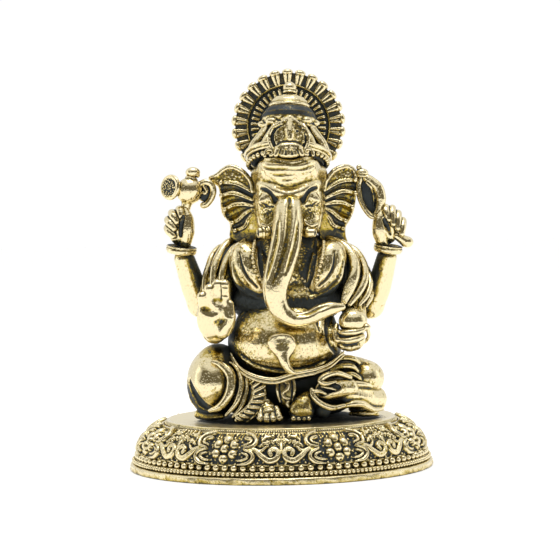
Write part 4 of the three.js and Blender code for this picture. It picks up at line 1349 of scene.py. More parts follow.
def crown_brow_beads():
    place = leaning(BROW_LEAN)
    spots = np.array([place(7.0, a, -1.15) for a in np.arange(BROW_BEADS) / BROW_BEADS * 2 * math.pi])
    beads = scatter(sphere(8, 12), spots, np.full(len(spots), 0.46))
    clay = Clay("crown_brow_beads", 0.8, 0.14)
    clay.add(Turned(SEAT, axis_of(BROW_LEAN), [[5.4, -1.3], [6.2, -1.3], [6.5, -0.6], [5.4, -0.6]]))
    points, faces = clay.skin()
    points = relax(points, links(faces), 1)
    shade = np.append(np.full(len(points), 0.45), np.full(len(beads[0]), 0.82))
    piece("crown_brow_beads", *joined((points, faces), beads), CARVED, "oxidised_gold", relief=shade)


def crown_brow_band():
    axis = axis_of(BROW_LEAN)
    clay = Clay("crown_brow_band", 1.2, 0.14)
    clay.add(Turned(SEAT, axis, [[5.5, -0.45], [7.2, -0.45], [7.3, 0.6], [5.5, 0.9]]))
    clay.add(Ring(SEAT + axis * 0.25, axis, 7.2, 0.62, 0.5), Ring(SEAT - axis * 0.35, axis, 7.15, 0.28),
             blend=0.1)
    finish_clay(clay, SATIN, 2)


def crown_tier():
    axis, place = axis_of(CROWN_LEAN), leaning(CROWN_LEAN)
    clay = Clay("crown_tier", 1.2, 0.14)
    clay.add(Turned(SEAT, axis, [[0.1, 0.9], [6.0, 0.9], [5.0, 3.0], [4.0, 5.5], [0.1, 5.5]]))
    for i in range(TIER_LOBES):
        angle = (i + 0.5) / TIER_LOBES * 2 * math.pi
        swirl = 0.20 * math.sin(angle)
        stops = ((6.75, 1, 1.1), (6.1, 0.6, 2.4), (5.1, 0.2, 4.0), (4.5, 0, 5.2))
        line = [place(radius, angle + swirl * share, height) for radius, share, height in stops]
        clay.add(Limb(line, [0.66, 0.72, 0.58, 0.4]), blend=0.06)
    finish_clay(clay, CARVED, 2)


def crown_cuff():
    axis, place = axis_of(CROWN_LEAN), leaning(CROWN_LEAN)
    clay = Clay("crown_cuff", 1.0, 0.13)
    bell = [[0.1, 5.3], [4.3, 5.3], [4.75, 6.6], [4.6, 7.6], [4.05, 8.4], [3.3, 9.0], [0.1, 9.0]]
    clay.add(Turned(SEAT, axis, bell))
    clay.add(Ring(SEAT + axis * 5.35, axis, 4.55, 0.34, 0.3), blend=0.05)
    for i in range(CUFF_BOSSES):
        angle = i / CUFF_BOSSES * 2 * math.pi
        clay.add(Ball(place(4.1, angle, 5.95), [1.5, 1.1, 0.75]), blend=0.25)
    height = lambda p: (p - SEAT) @ axis
    dark = lambda p: 1 - 0.62 * clamped((height(p) - 6.55) / 0.4) * (height(p) < 8.8)
    finish_clay(clay, CARVED, 2, clean_and_unshaded=dark)


def crown_dome():
    axis = axis_of(CROWN_LEAN)
    clay = Clay("crown_dome", 0.8, 0.12)
    bun = [[0.1, 9.0], [3.2, 9.0], [3.3, 9.5], [3.15, 10.0], [2.75, 10.5], [2.1, 10.85], [1.2, 11.1],
           [0.1, 11.2]]
    clay.add(Turned(SEAT, axis, bun, 0.15))
    clay.add(Ring(SEAT + axis * 9.2, axis, 3.35, 0.38, 0.32), blend=0.06)
    finish_clay(clay, POLISHED, 2)


def crown_finial():
    axis = axis_of(CROWN_LEAN)
    clay = Clay("crown_finial", 0.9, 0.1)
    clay.add(Ring(SEAT + axis * 11.75, axis, 0.95, 0.3, 0.22), Ball(SEAT + axis * 11.7, 0.85), blend=0.1)
    clay.add(Ball(SEAT + axis * 12.6, [1.22, 1.2, 1.0]), Ball(SEAT + axis * 13.4, [0.5, 0.5, 0.32]),
             blend=0.25)
    finish_clay(clay, POLISHED, 1)


def crown_medallion():
    """A domed boss in an arched frame, with a scroll at each side and a skirt of tongues below."""
    clay = Clay("crown_medallion", 1.5, 0.11)
    lie = lambda x, z: -8.9 + 0.28 * (z - 57) - 0.02 * (z - 57) ** 2 + 0.06 * (x - 2.3) ** 2
    arch = [[2.6, 61.9], [3.8, 60.9], [5.2, 59.8], [5.9, 58.2], [5.7, 56.7], [4.9, 55.5], [3.2, 54.8],
            [1.4, 54.8], [-0.3, 55.6], [-1.1, 57.0], [-1.3, 58.5], [-0.5, 60.0], [1.3, 61.0]]
    shrunk = lambda share: [[2.4 + (x - 2.4) * share, 58.0 + (z - 58.0) * share] for x, z in arch]
    clay.add(Slab(arch, lie, 1.5, 0.4), blend=0.2)
    loop = shrunk(0.80)
    clay.engrave(loop + loop[:1], 0.34, -0.05)
    loop = shrunk(0.94)
    clay.emboss(loop + loop[:1], 0.34, 0.0)
    face = lambda z: lie(2.5, z) - 0.3
    clay.add(Ball([2.55, face(58.4) + 0.3, 58.4], [2.35, 1.15, 1.9]), blend=0.9)
    clay.add(Ball([2.55, face(59.8) + 0.3, 59.9], [1.2, 1.1, 1.5]), blend=0.9)
    ridge = [[2.55, face(60.6) - 0.5, 60.8], [2.5, face(59.2) - 0.9, 59.2], [2.5, face(58.0) - 1.0, 57.9]]
    clay.add(Limb(ridge, [0.3, 0.6, 0.5]), blend=0.6)
    clay.add(Ball([0.3, face(57.2), 57.2], 0.36), Ball([4.8, face(57.2), 57.3], 0.32), blend=0.06)
    clay.cut(Ball([0.95, face(58.0) - 1.1, 58.4], 0.3), Ball([3.9, face(59.0) - 0.9, 59.2], 0.36),
             blend=0.05)
    for side in (-1, 1):
        at = lambda d, z: [2.3 + side * d, lie(2.3 + side * d, z) - 0.7, z]
        scroll = [at(4.2, 55.0), at(3.8, 56.0), at(2.9, 56.0), at(2.7, 55.3), at(3.2, 55.1)]
        clay.add(Limb(scroll, 0.28), blend=0.05)
    skirt = [[x, lie(x, 56.2) - 0.7, 56.5 - 0.06 * (x - 2.3) ** 2] for x in (0.3, 1.3, 2.3, 3.3, 4.3)]
    clay.add(Limb(skirt, [0.5, 0.8, 0.85, 0.8, 0.5]), blend=0.2)
    for i in range(5):
        x = 2.3 + 0.95 * (i - 2)
        low = 2.3 + (x - 2.3) * 1.2
        tongue = [[x, lie(x, 55.8) - 0.9, 55.8], [low, lie(x, 55.0) - 0.9, 55.1]]
        clay.add(Limb(tongue, [0.56, 0.36]), blend=0.3)
    sides = lambda p: clamped((np.abs(p[:, 0] - 2.5) - 0.9) / 0.8) * clamped((p[:, 2] - 57.0) / 0.5)
    finish_clay(clay, SATIN, 1, graining(0.6, 0.07, 31, sides), clean_and_unshaded=lambda p: 1 - 0.18 * sides(p))


# ------------------------------------------------------------------ halo
RAYS = 26
FRINGE_BARS = 40


def unit_clay(low, high, *shapes, cuts=()):
    """A small sculpted mesh that is copied many times."""
    clay = Clay(None, step=0.09, low=low, high=high)
    clay.add(*shapes, blend=0.1)
    clay.cut(*cuts, blend=0.08)
    points, faces = clay.skin()
    return relax(points, links(faces), 1), faces


def halo_ray_ring():
    """Rays on a thin dark ring. Each has a knob at the rim and two bright facets that close inwards."""
    rim = HALO_RADIUS
    knob = Ball([0, -0.14, rim - 0.62], [0.98, 0.7, 0.6])
    facet = lambda side: [[side * 0.40, -0.25, rim - 1.1], [side * 0.20, -0.15, rim - 2.8]]
    facets = [Limb(facet(side), [0.46, 0.30]) for side in (-1, 1)]
    slot = Limb([[0, -0.82, rim - 1.3], [0, -0.52, rim - 2.7]], [0.22, 0.12])
    low, high = [-1.8, -1.0, rim - 3.2], [1.8, 0.9, rim + 0.4]
    rays = swept(unit_clay(low, high, knob, *facets, cuts=[slot]), around(RAYS, HALO))
    ground = [[7.3, -0.25], [rim - 0.75, -0.12], [rim - 0.75, 0.25], [7.3, 0.25]]
    ground, faces = lathe(rounded(ground, 0.1), 260)
    ground = np.stack([ground[:, 0], -ground[:, 2], ground[:, 1]], 1) + HALO
    shade = np.append(np.ones(len(rays[0])), np.zeros(len(ground)))
    piece("halo_ray_ring", *joined(rays, (ground, faces)), HALO_METAL, relief=shade)


def hoop(radius, wide, deep):
    """A ring standing in the XZ plane about the halo's centre."""
    steps = 16
    turn = np.arange(steps) / steps * 2 * math.pi
    profile = np.stack([radius + wide * np.cos(turn), deep * np.sin(turn)], 1)
    points, faces = lathe(profile, 200)
    return np.stack([points[:, 0], points[:, 2], points[:, 1]], 1) + HALO, faces


def halo_rope_ring():
    points, faces = hoop(7.4, 0.25, 0.75)
    piece("halo_rope_ring", points, faces, HALO_METAL, relief=np.full(len(points), 1.35))


def halo_plate():
    """A thin plate with a fringe of radial bars between its smooth inner rim and the ring."""
    bar = Limb([[0, -0.3, 5.5], [0, -0.4, 6.6]], [0.26, 0.33])
    unit = unit_clay([-0.6, -1.0, 4.8], [0.6, 0.7, 7.2], bar)
    bars = swept(unit, around(FRINGE_BARS, HALO, 0.5 / FRINGE_BARS * 2 * math.pi))
    profile = rounded([[0.02, -0.35], [7.35, -0.35], [7.35, 0.1], [0.02, 0.1]], 0.15)
    disc, faces = lathe(profile, 200)
    disc = np.stack([disc[:, 0], -disc[:, 2] - 0.1, disc[:, 1]], 1) + HALO
    rim = hoop(5.25, 0.26, 0.5)
    shade = np.concatenate([disc[:, 1] > HALO[1], np.ones(len(bars[0]) + len(rim[0]))])
    piece("halo_plate", *joined((disc, faces), bars, rim), HALO_METAL, "oxidised_gold", relief=shade)


# ------------------------------------------------------------------ shawls
def shawl(node, room, core, folds, ends):
    """Long round folds over a core. ends is a fold's thickness at its ends, as a share of its middle."""
    clay = Clay(node, room, 0.15)
    clay.add(core, blend=0.4)
    for path, thick in folds:
        clay.add(Limb(path, [thick * ends, thick, thick, thick, thick * ends]), blend=0.12)
    finish_clay(clay, SATIN, 2)


def right_shawl():
    folds = (
        ([[-8.4, 3.4, 39.6], [-10.2, 1.8, 39.2], [-11.6, -0.4, 37.7], [-12.3, -1.6, 35.8],
          [-12.9, -2.4, 33.8], [-13.2, -2.8, 31.8]], 0.62),
        ([[-7.0, 0.8, 40.8], [-8.8, -1.2, 39.8], [-10.2, -2.8, 37.8], [-11.1, -4.0, 35.6],
          [-11.6, -4.6, 32.6]], 0.85),
        ([[-5.8, -1.6, 40.4], [-7.6, -3.0, 38.9], [-8.9, -4.2, 37.0], [-9.7, -5.2, 34.6],
          [-10.0, -5.6, 31.8]], 0.75),
        ([[-11.0, 1.0, 37.0], [-12.4, -0.2, 35.0], [-13.4, -1.0, 32.6], [-13.9, -1.6, 30.6]], 0.5),
    )
    shawl("right_shawl", 1.6, Ball([-9.2, 0.4, 35.6], [2.8, 4.7, 4.6], [0, 20, 0]), folds, 0.6)


def left_shawl():
    folds = (
        ([[8.6, -1.4, 40.6], [11.4, -3.2, 39.2], [13.2, -5.0, 36.8], [13.2, -6.6, 34.0],
          [12.2, -7.4, 31.4], [11.4, -7.6, 29.4]], 1.1),
        ([[10.6, -0.4, 39.8], [13.4, -2.0, 38.4], [15.0, -3.6, 36.0], [15.2, -5.2, 33.4],
          [13.9, -6.6, 30.8], [12.4, -7.4, 28.9]], 0.75),
        ([[12.6, 1.0, 38.2], [15.2, -0.6, 35.8], [16.2, -2.8, 33.0], [15.6, -4.8, 30.6],
          [14.2, -6.4, 28.8]], 0.62),
        ([[14.6, 1.2, 35.4], [16.4, -0.4, 32.4], [16.4, -2.6, 30.2], [15.4, -4.6, 28.4]], 0.5),
    )
    shawl("left_shawl", 1.8, Ball([12.2, -0.4, 33.6], [2.9, 5.0, 5.2], [0, -16, 0]), folds, 0.55)


# ------------------------------------------------------------------ rear arms
def rear_arm(node, upper, fore, fore_radii, inner):
    """An upper arm and a forearm. inner(points) is 1 on the side that faces the body, which is painted
    darker as the body's shade and reflection.
    """
    clay = Clay(node, 1.3, 0.15)
    clay.add(Limb(upper, [2.4, 2.5, 2.3]), blend=0.3)
    clay.add(Limb(fore, fore_radii), blend=0.8)
    finish_clay(clay, POLISHED, 2, clean_and_unshaded=lambda p: 1 - 0.60 * inner(p))


def right_rear_arm():
    upper = [[-8.6, 4.4, 35.4], [-11.8, 4.0, 31.4], [-13.9, 1.9, 28.9]]
    fore = [[-14.0, 1.5, 29.3], [-15.1, 0.4, 32.2], [-16.6, -0.8, 37.2]]
    inner = lambda p: clamped((p[:, 0] + 14.6 + 0.33 * (p[:, 2] - 29.3)) / 1.6) * (p[:, 1] < 2.0)
    rear_arm("right_rear_arm", upper, fore, [2.35, 2.25, 1.85], inner)


def left_rear_arm():
    upper = [[12.2, 4.4, 34.8], [15.0, 4.0, 30.6], [16.5, 1.9, 28.1]]
    fore = [[16.6, 1.5, 28.5], [17.9, 0.4, 31.4], [19.4, -0.8, 36.8]]
    inner = lambda p: clamped((17.3 + 0.34 * (p[:, 2] - 28.5) - p[:, 0]) / 1.6) * (p[:, 1] < 2.0)
    rear_arm("left_rear_arm", upper, fore, [2.3, 2.2, 1.8], inner)


def bracelet(node, centre, lean, wide):
    axis = np.array([math.sin(math.radians(lean)), -0.12, 1.0])
    axis /= np.linalg.norm(axis)
    centre = np.array(centre)
    clay = Clay(node, 1.0, 0.12)
    clay.add(Ball(centre, [wide * 0.84, wide * 0.8, 0.9], [0, lean, 0]), blend=0.2)
    clay.add(Ring(centre + axis * 0.1, axis, wide * 0.82, 0.5, 0.62), blend=0.05)
    clay.add(Ring(centre + axis * 0.66, axis, wide * 0.84, 0.46, 0.2), blend=0.05)
    above = lambda p: 1 - clamped(((p - centre) @ axis - 0.72) / 0.15)
    finish_clay(clay, SATIN, 1, clean_and_unshaded=above)


def fist(node, palm, heel, fingers, thick):
    """A closed hand: four finger bands over the outside of the palm, and the heel of the hand inside."""
    clay = Clay(node, 1.5, 0.12)
    clay.add(Ball(palm, [2.1, 1.9, 3.0]), blend=0.4)
    clay.add(Limb(heel, [1.1, 1.3, 1.2, 0.9]), blend=0.3)
    for knuckle, bend, tip in fingers:
        behind = [palm[0] + 0.75 * (knuckle[0] - palm[0]), palm[1] + 1.6, knuckle[1] - 0.3]
        bends = zip((knuckle, bend, tip), (0.2, 1.5, 1.9))
        band = [behind] + [[x, palm[1] - ahead, z] for (x, z), ahead in bends]
        clay.add(Limb(band, [thick, thick * 1.05, thick, thick * 0.8]), blend=0.12)
    groove = [[(f[2][0] + heel[1][0]) / 2, f[2][1]] for f in fingers]
    clay.engrave(groove, [0.3, 0.45, 0.45, 0.35], -0.1, 0.2)
    finish_clay(clay, POLISHED, 2)


def right_fist():
    heel = [[-16.4, -1.5, 40.0], [-15.9, -2.2, 42.0], [-15.9, -2.2, 44.2], [-16.4, -1.9, 45.8]]
    fingers = (
        ([-17.3, 46.0], [-17.0, 45.7], [-16.9, 44.9]),
        ([-18.6, 45.4], [-18.3, 44.9], [-17.7, 43.9]),
        ([-19.3, 44.2], [-18.9, 43.6], [-18.2, 42.7]),
        ([-19.4, 42.8], [-19.1, 42.2], [-18.4, 41.4]),
    )
    fist("right_rear_fist", [-17.3, -1.1, 42.6], heel, fingers, 0.74)


def left_fist():
    heel = [[18.6, -1.5, 39.4], [18.1, -2.2, 41.4], [18.2, -2.2, 43.4], [18.9, -1.9, 44.8]]
    fingers = (
        ([19.3, 45.7], [19.3, 45.0], [19.7, 43.6]),
        ([20.5, 45.5], [20.4, 44.6], [20.5, 42.8]),
        ([21.5, 44.6], [21.4, 43.6], [21.3, 42.0]),
        ([22.3, 43.3], [22.2, 42.3], [22.0, 41.0]),
    )
    fist("left_rear_fist", [19.6, -1.1, 42.2], heel, fingers, 0.66)


def axe_body():
    clay = Clay("axe_body", 1.1, 0.12)
    clay.add(Ball([-15.4, -1.5, 49.3], [2.35, 2.1, 2.4]), blend=0.3)
    clay.add(Limb([[-16.2, -1.5, 45.9], [-15.9, -1.5, 47.2]], [0.85, 0.95]), blend=0.3)
    clay.add(Ring([-15.05, -1.5, 51.55], [0.25, 0, 1], 0.85, 0.26), blend=0.08)
    finish_clay(clay, POLISHED, 2)


def axe_finial():
    clay = Clay("axe_finial", 0.8, 0.11)
    clay.add(Ball([-14.75, -1.5, 52.55], [1.32, 1.25, 0.98]), Ball([-13.9, -1.6, 52.0], 0.42), blend=0.1)
    finish_clay(clay, POLISHED, 1)


def axe_blade():
    axis = np.array([-0.66, -0.74, 0.10])
    axis /= np.linalg.norm(axis)
    centre = np.array([-18.8, -1.7, 50.0])
    clay = Clay("axe_blade", 1.5, 0.11)
    disc = [[0.05, -0.9], [1.5, -0.9], [2.0, -0.2], [1.7, 0.2], [0.05, 0.0]]
    clay.add(Turned(centre, axis, disc), blend=0.1)
    clay.add(Ring(centre - axis * 0.05, axis, 1.95, 0.34, 0.4), blend=0.06)
    clay.add(Limb([centre - axis * 0.6, [-17.3, -1.5, 49.8]], [1.0, 1.0]), blend=0.2)
    ahead = lambda p: (p - centre) @ axis
    away = lambda p: np.linalg.norm(p - centre - ahead(p)[:, None] * axis, axis=1)
    face = lambda p: (ahead(p) > -0.15) * (away(p) < 1.6)
    clean_and_unshaded = lambda p: 1 - 0.35 * face(p)
    finish_clay(clay, CARVED, 1, graining(0.42, 0.16, 41, face), "oxidised_gold", clean_and_unshaded)


def axe_hook():
    """A hook with a curl inside it, and a thin blackened web behind them."""
    clay = Clay("axe_hook", 0.9, 0.1)
    hook = [[-13.5, -1.5, 50.4], [-12.6, -1.5, 50.75], [-11.6, -1.5, 50.4], [-11.2, -1.5, 49.2],
            [-11.6, -1.5, 47.9], [-12.4, -1.5, 46.9], [-13.0, -1.5, 46.7]]
    clay.add(Limb(hook, [0.6, 0.66, 0.62, 0.6, 0.6, 0.6, 0.62]), blend=0.05)
    curl = [[-12.9, -1.7, 50.2], [-12.4, -1.8, 49.4], [-12.6, -1.8, 48.8], [-13.1, -1.7, 49.0]]
    clay.add(Limb(curl, [0.34, 0.32, 0.28, 0.25]), blend=0.08)
    clay.add(Ball([-12.9, -1.1, 49.3], [1.3, 0.3, 2.0]), blend=0.05)

    def clean_and_unshaded(p):
        proud = clamped((-1.4 - p[:, 1]) / 0.15)
        outside = np.hypot(p[:, 0] + 12.9, (p[:, 2] - 49.3) * 0.65) > 1.15
        return proud + outside + (p[:, 1] > -1.05)

    finish_clay(clay, SATIN, 1, clean_and_unshaded=clean_and_unshaded)


def noose_loop():
    """A flattened loop with a thin blackened web across it."""
    clay = Clay("noose_loop", 1.2, 0.1)
    outer = [[15.5, -0.7, 51.3], [16.5, -0.8, 50.6], [18.0, -1.0, 49.2], [18.5, -1.3, 47.2],
             [18.2, -1.5, 45.6]]
    clay.add(Limb(outer, [0.65, 0.9, 1.0, 0.95, 0.7]), blend=0.05)
    inner = [[18.0, -1.7, 45.4], [17.2, -1.8, 44.0], [15.9, -1.5, 45.1], [14.9, -1.1, 47.2],
             [14.6, -0.8, 49.5], [15.1, -0.7, 51.2]]
    clay.add(Limb(inner, [0.5, 0.5, 0.48, 0.5, 0.55, 0.6]), blend=0.05)
    clay.add(Ball([16.6, -0.5, 47.6], [1.8, 0.3, 3.2], [0, -18, 0]), blend=0.1)
    clay.emboss([[16.0, 50.2], [16.9, 49.2], [17.3, 47.6], [17.2, 46.2]], [0.2, 0.3, 0.3, 0.2], 0.0)
    clean_and_unshaded = lambda p: clamped((-0.95 - p[:, 1]) / 0.2) + (p[:, 1] > -0.45)
    finish_clay(clay, SATIN, 1, slot="oxidised_gold", clean_and_unshaded=clean_and_unshaded)


def noose_knot():
    clay = Clay("noose_knot", 0.9, 0.1)
    clay.add(Ball([15.25, -0.7, 51.9], [1.15, 1.05, 0.85]), blend=0.1)
    clay.add(Ring([15.2, -0.7, 51.4], [0.1, 0, 1], 0.85, 0.28),
             Ball([14.75, -0.7, 52.9], [0.5, 0.5, 0.5]), blend=0.12)
    finish_clay(clay, SATIN, 1)


def noose_pommel():
    clay = Clay("noose_pommel", 1.0, 0.1)
    stem = Limb([[21.2, -2.3, 40.6], [22.1, -2.2, 40.0], [22.7, -2.1, 39.6]], [0.7, 0.85, 1.0])
    clay.add(stem, Ball([23.0, -2.0, 39.5], [1.1, 1.05, 1.0]), blend=0.2)
    finish_clay(clay, POLISHED, 1)


# ------------------------------------------------------------------ front arms
def right_front_arm():
    clay = Clay("right_front_arm", 1.2, 0.15)
    route = [[-8.6, -1.2, 34.0], [-10.6, -2.8, 29.0], [-11.2, -5.8, 25.4], [-11.2, -10.0, 24.8]]
    clay.add(Limb(route, [2.3, 2.3, 2.3, 2.0]), blend=0.3)
    for wrist, size in (([-11.2, -9.9, 24.8], 2.0), ([-11.2, -9.1, 24.9], 2.05)):
        clay.add(Ring(wrist, [0, -1, -0.1], size - 0.1, 0.34), blend=0.08)
    finish_clay(clay, SATIN, 2)


def left_front_arm():
    clay = Clay("left_front_arm", 1.2, 0.15)
    route = [[12.2, -1.2, 33.4], [13.2, -2.8, 28.4], [13.3, -5.4, 25.0], [12.8, -8.6, 23.6]]
    clay.add(Limb(route, [2.3, 2.2, 2.0, 1.7]), blend=0.3)
    clay.add(Ring([13.9, -8.0, 23.8], [-0.35, -1, -0.4], 1.8, 0.34), blend=0.08)
    finish_clay(clay, SATIN, 2)


def blessing_hand():
    """The raised right hand: four fingers up, the thumb beside them and shallow dents in the palm."""
    clay = Clay("blessing_hand", 1.2, 0.12)
    clay.add(Ball([-10.8, -12.8, 27.0], [3.3, 1.7, 3.9], [10, 0, 0]), blend=0.4)
    tips = [[-13.1, 31.7], [-11.85, 33.0], [-10.45, 33.8], [-9.1, 33.7]]
    for (x, z), root in zip(tips, (-12.9, -11.6, -10.3, -9.1)):
        finger = [[root + 0.2, -13.0, 27.4], [root + 0.05, -13.4, 30.4], [x, -13.8, z - 0.65]]
        clay.add(Limb(finger, [1.0, 0.95, 0.80]), blend=0.7)
        clay.add(Limb([[root, -13.7, 30.0], [x, -14.0, z - 0.8]], [0.62, 0.62]), blend=0.5)
    clay.add(Limb([[-9.6, -13.4, 24.9], [-8.4, -13.9, 27.2], [-8.2, -14.0, 29.6]], [1.2, 1.05, 0.62]),
             blend=0.45)
    clay.cut(Ball([-12.4, -15.0, 28.9], [2.0, 0.7, 0.8], [0, 25, 0]),
             Ball([-10.4, -15.2, 26.6], [1.5, 0.85, 0.8], [0, -30, 0]), blend=0.6)
    clay.engrave([[-9.85, 33.4], [-9.75, 31.8], [-9.8, 30.6]], [0.08, 0.14, 0.08], 0.0, 0.1)
    for z in (32.6, 31.2):
        clay.engrave([[-9.6, z], [-8.7, z - 0.1]], [0.06, 0.12], 0.0, 0.08)
    # Darker at the palm's two dents and at a spot above and a spot below them.
    dark_spots = ((-12.8, 28.9, 1.5, 0.55), (-10.3, 26.6, 1.2, 0.6), (-10.2, 30.4, 1.0, 0.45),
              (-10.6, 24.0, 1.8, 0.3))
    spotted = lambda p: clamped(sum(clamped(1.6 - oval(p, *stain)) for stain in dark_spots))
    finish_clay(clay, POLISHED, 2, clean_and_unshaded=lambda p: 1.25 - 0.5 * spotted(p))


def offering_hand():
    """The cupped left hand under the sweet."""
    clay = Clay("offering_hand", 1.1, 0.12)
    clay.add(Ball([12.2, -11.3, 23.0], [2.7, 2.2, 2.1]), blend=0.4)
    fingers = (
        ([[9.9, -11.2, 25.4], [9.7, -12.2, 24.4], [10.0, -12.8, 23.0]], [0.5, 0.6, 0.5]),
        ([[10.2, -12.4, 24.5], [11.4, -13.4, 24.3], [13.0, -13.6, 24.4], [14.4, -12.9, 24.7]],
         [0.4, 0.55, 0.55, 0.4]),
        ([[10.2, -12.7, 23.1], [11.6, -13.5, 22.9], [13.2, -13.5, 23.2], [14.4, -12.8, 23.6]],
         [0.45, 0.58, 0.58, 0.4]),
        ([[10.8, -12.4, 21.9], [12.0, -13.0, 21.7], [13.3, -12.9, 22.0]], [0.4, 0.5, 0.4]),
    )
    for path, radii in fingers:
        clay.add(Limb(path, radii), blend=0.2)
    clay.add(Ball([15.0, -12.3, 25.1], [0.8, 0.8, 0.7]), blend=0.15)
    low = lambda p: clamped((22.6 - p[:, 2]) / 0.8) * (p[:, 1] < -11)
    finish_clay(clay, SATIN, 1, graining(0.5, 0.08, 61, low), clean_and_unshaded=lambda p: 1 - 0.2 * low(p))


def sweet_ball():
    clay = Clay("sweet_ball", 0.8, 0.11)
    clay.add(Ball([12.8, -11.5, 26.1], [2.5, 2.3, 2.25]), blend=0.2)
    clay.add(Ring([12.65, -11.5, 24.6], [0, 0, 1], 1.5, 0.25), blend=0.1)
    finish_clay(clay, POLISHED, 1)


# ------------------------------------------------------------------ studio
def studio_floor():
    half = 3.0
    corners = [(-half, -half, 0), (half, -half, 0), (half, half, 0), (-half, half, 0)]
    mesh = bpy.data.meshes.new("floor")
    mesh.from_pydata(corners, [], [(0, 1, 2, 3)])
    floor = bpy.data.objects.new("floor", mesh)
    bpy.context.scene.collection.objects.link(floor)
    material = bpy.data.materials.new("floor_white")
    material.use_nodes = True
    shader = material.node_tree.nodes["Principled BSDF"]
    shader.inputs["Base Color"].default_value = (0.93, 0.93, 0.93, 1)
    shader.inputs["Roughness"].default_value = 0.9
    shader.inputs["Specular IOR Level"].default_value = 0.0
    shader.inputs["Emission Color"].default_value = (1, 1, 1, 1)
    shader.inputs["Emission Strength"].default_value = 0.36
    mesh.materials.append(material)
    floor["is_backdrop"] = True


def softbox(name, place, size, power):
    """A soft rectangular lamp turned towards the figure. Places and sizes are in metres."""
    light = bpy.data.lights.new(name, "AREA")
    light.shape = "RECTANGLE"
    light.size, light.size_y = size
    light.energy = power
    lamp = bpy.data.objects.new(name, light)
    lamp.location = place
    aim = Vector((0, 0, 0.03)) - Vector(place)
    lamp.rotation_euler = aim.to_track_quat("-Z", "Y").to_euler()
    bpy.context.scene.collection.objects.link(lamp)


def studio_world():
    """A white room. In reflections its front is darker and warmer, up to some 40 degrees above level."""
    world = bpy.data.worlds.new("studio")
    bpy.context.scene.world = world
    world.use_nodes = True
    n = Nodes(world.node_tree)
    n.tree.nodes.clear()
    direction = n.new("ShaderNodeTexCoord").outputs["Generated"]
    split = n.new("ShaderNodeSeparateXYZ")
    n.plug(split.inputs[0], direction)
    front = n.ramp(n.math("MULTIPLY", split.outputs["Y"], -1.0), -0.10, 0.20)
    low = n.ramp(split.outputs["Z"], 0.60, 0.75, 1.0, 0.0)
    dark = n.math("MULTIPLY", front, low)
    glow = n.math("SUBTRACT", 0.86, n.math("MULTIPLY", dark, 0.71))
    seen = n.new("ShaderNodeLightPath").outputs["Is Camera Ray"]
    strength = n.math("MAXIMUM", glow, n.math("MULTIPLY", seen, 1.02))
    background = n.new("ShaderNodeBackground")
    unseen = n.math("MULTIPLY", dark, n.math("SUBTRACT", 1.0, seen))
    n.plug(background.inputs["Color"], n.mix(unseen, (1, 1, 1, 1), (1.0, 0.90, 0.66, 1)))
    n.plug(background.inputs["Strength"], strength)
    output = n.new("ShaderNodeOutputWorld")
    n.plug(output.inputs["Surface"], background.outputs[0])


CAMERA_PLACE = Vector((0.33, -350.0, 44.2))  # mm from the base's middle, just above the tusks
CAMERA_PITCH = math.radians(1.81)
CAMERA_ROLL = math.radians(1.1)


def camera():
    """Looks slightly down at the figure from straight in front, turned a little about its line of sight."""
    lens = bpy.data.cameras.new("camera")
    lens.sensor_width = 36.0
    lens.lens = 126.2
    lens.clip_start = 0.01
    made = bpy.data.objects.new("camera", lens)
    bpy.context.scene.collection.objects.link(made)
    place = (Vector(ORIGIN) + CAMERA_PLACE) * MM
    tilt = Matrix.Rotation(math.radians(90) - CAMERA_PITCH, 4, "X")
    turn = tilt @ Matrix.Rotation(-CAMERA_ROLL, 4, "Z")
    made.matrix_world = Matrix.Translation(place) @ turn
    bpy.context.scene.camera = made


def look():
    scene = bpy.context.scene
    scene.view_settings.view_transform = "Standard"
    scene.view_settings.look = "None"
    scene.view_settings.exposure = 0.0
    scene.view_settings.gamma = 1.0


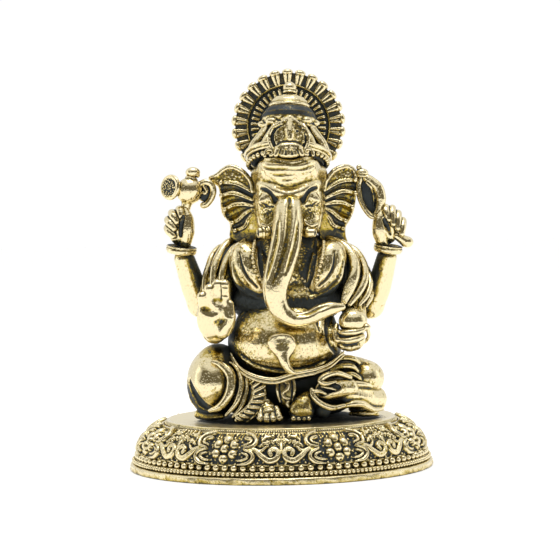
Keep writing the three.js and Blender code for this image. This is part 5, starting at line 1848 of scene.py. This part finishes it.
# ------------------------------------------------------------------ making it all
def statue():
    base_plinth()
    base_foot_ring()
    bead_row("base_small_bead_row", 26.35, 1.72, 200, 0.36,
             [[24.0, 1.4], [26.3, 1.4], [26.0, 2.1], [24.0, 2.2]])
    bead_row("base_large_bead_row", 25.65, 2.62, 100, 0.62,
             [[24.0, 2.3], [25.6, 2.3], [25.2, 3.2], [24.0, 3.2]])
    base_floral_band()
    base_top_rim()
    chest = torso()
    belly()
    dhoti_seat()
    waist_pleats()
    snake_belt()
    snake_hood()
    bead_garland(chest)
    right_knee()
    right_shin_folds()
    right_hem_band()
    right_foot()
    left_knee()
    left_shin_drape()
    left_hem_cuff()
    left_foot()
    left_lower_fold()
    head()
    hair_knot()
    trunk()
    tusk("right_tusk", [-0.9, -9.0, 41.8], [-2.9, -9.6, 41.7], 1.1, 2)
    tusk("left_tusk", [4.8, -8.9, 41.7], [6.3, -9.5, 41.5], 0.85, 1)
    right_ear()
    left_ear()
    crown_brow_beads()
    crown_brow_band()
    crown_tier()
    crown_cuff()
    crown_dome()
    crown_finial()
    crown_medallion()
    halo_plate()
    halo_rope_ring()
    halo_ray_ring()
    right_shawl()
    left_shawl()
    right_rear_arm()
    left_rear_arm()
    bracelet("right_rear_bracelet", [-17.1, -1.0, 38.7], 8, 2.75)
    bracelet("left_rear_bracelet", [19.6, -1.0, 38.2], 8, 2.55)
    right_fist()
    left_fist()
    axe_body()
    axe_finial()
    axe_blade()
    axe_hook()
    noose_loop()
    noose_knot()
    noose_pommel()
    right_front_arm()
    left_front_arm()
    blessing_hand()
    offering_hand()
    sweet_ball()


statue()
studio_floor()
studio_world()
softbox("overhead", (0.02, -0.05, 0.55), (0.30, 0.22), 0.7)
softbox("left_side", (-0.55, -0.02, 0.18), (0.3, 0.4), 0.2)
softbox("right_side", (0.55, -0.02, 0.18), (0.3, 0.4), 0.2)
camera()
look()

low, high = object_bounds()
sizes = {"cad": [list(cad_low), list(cad_high)], "visual": [list(low), list(high)]}
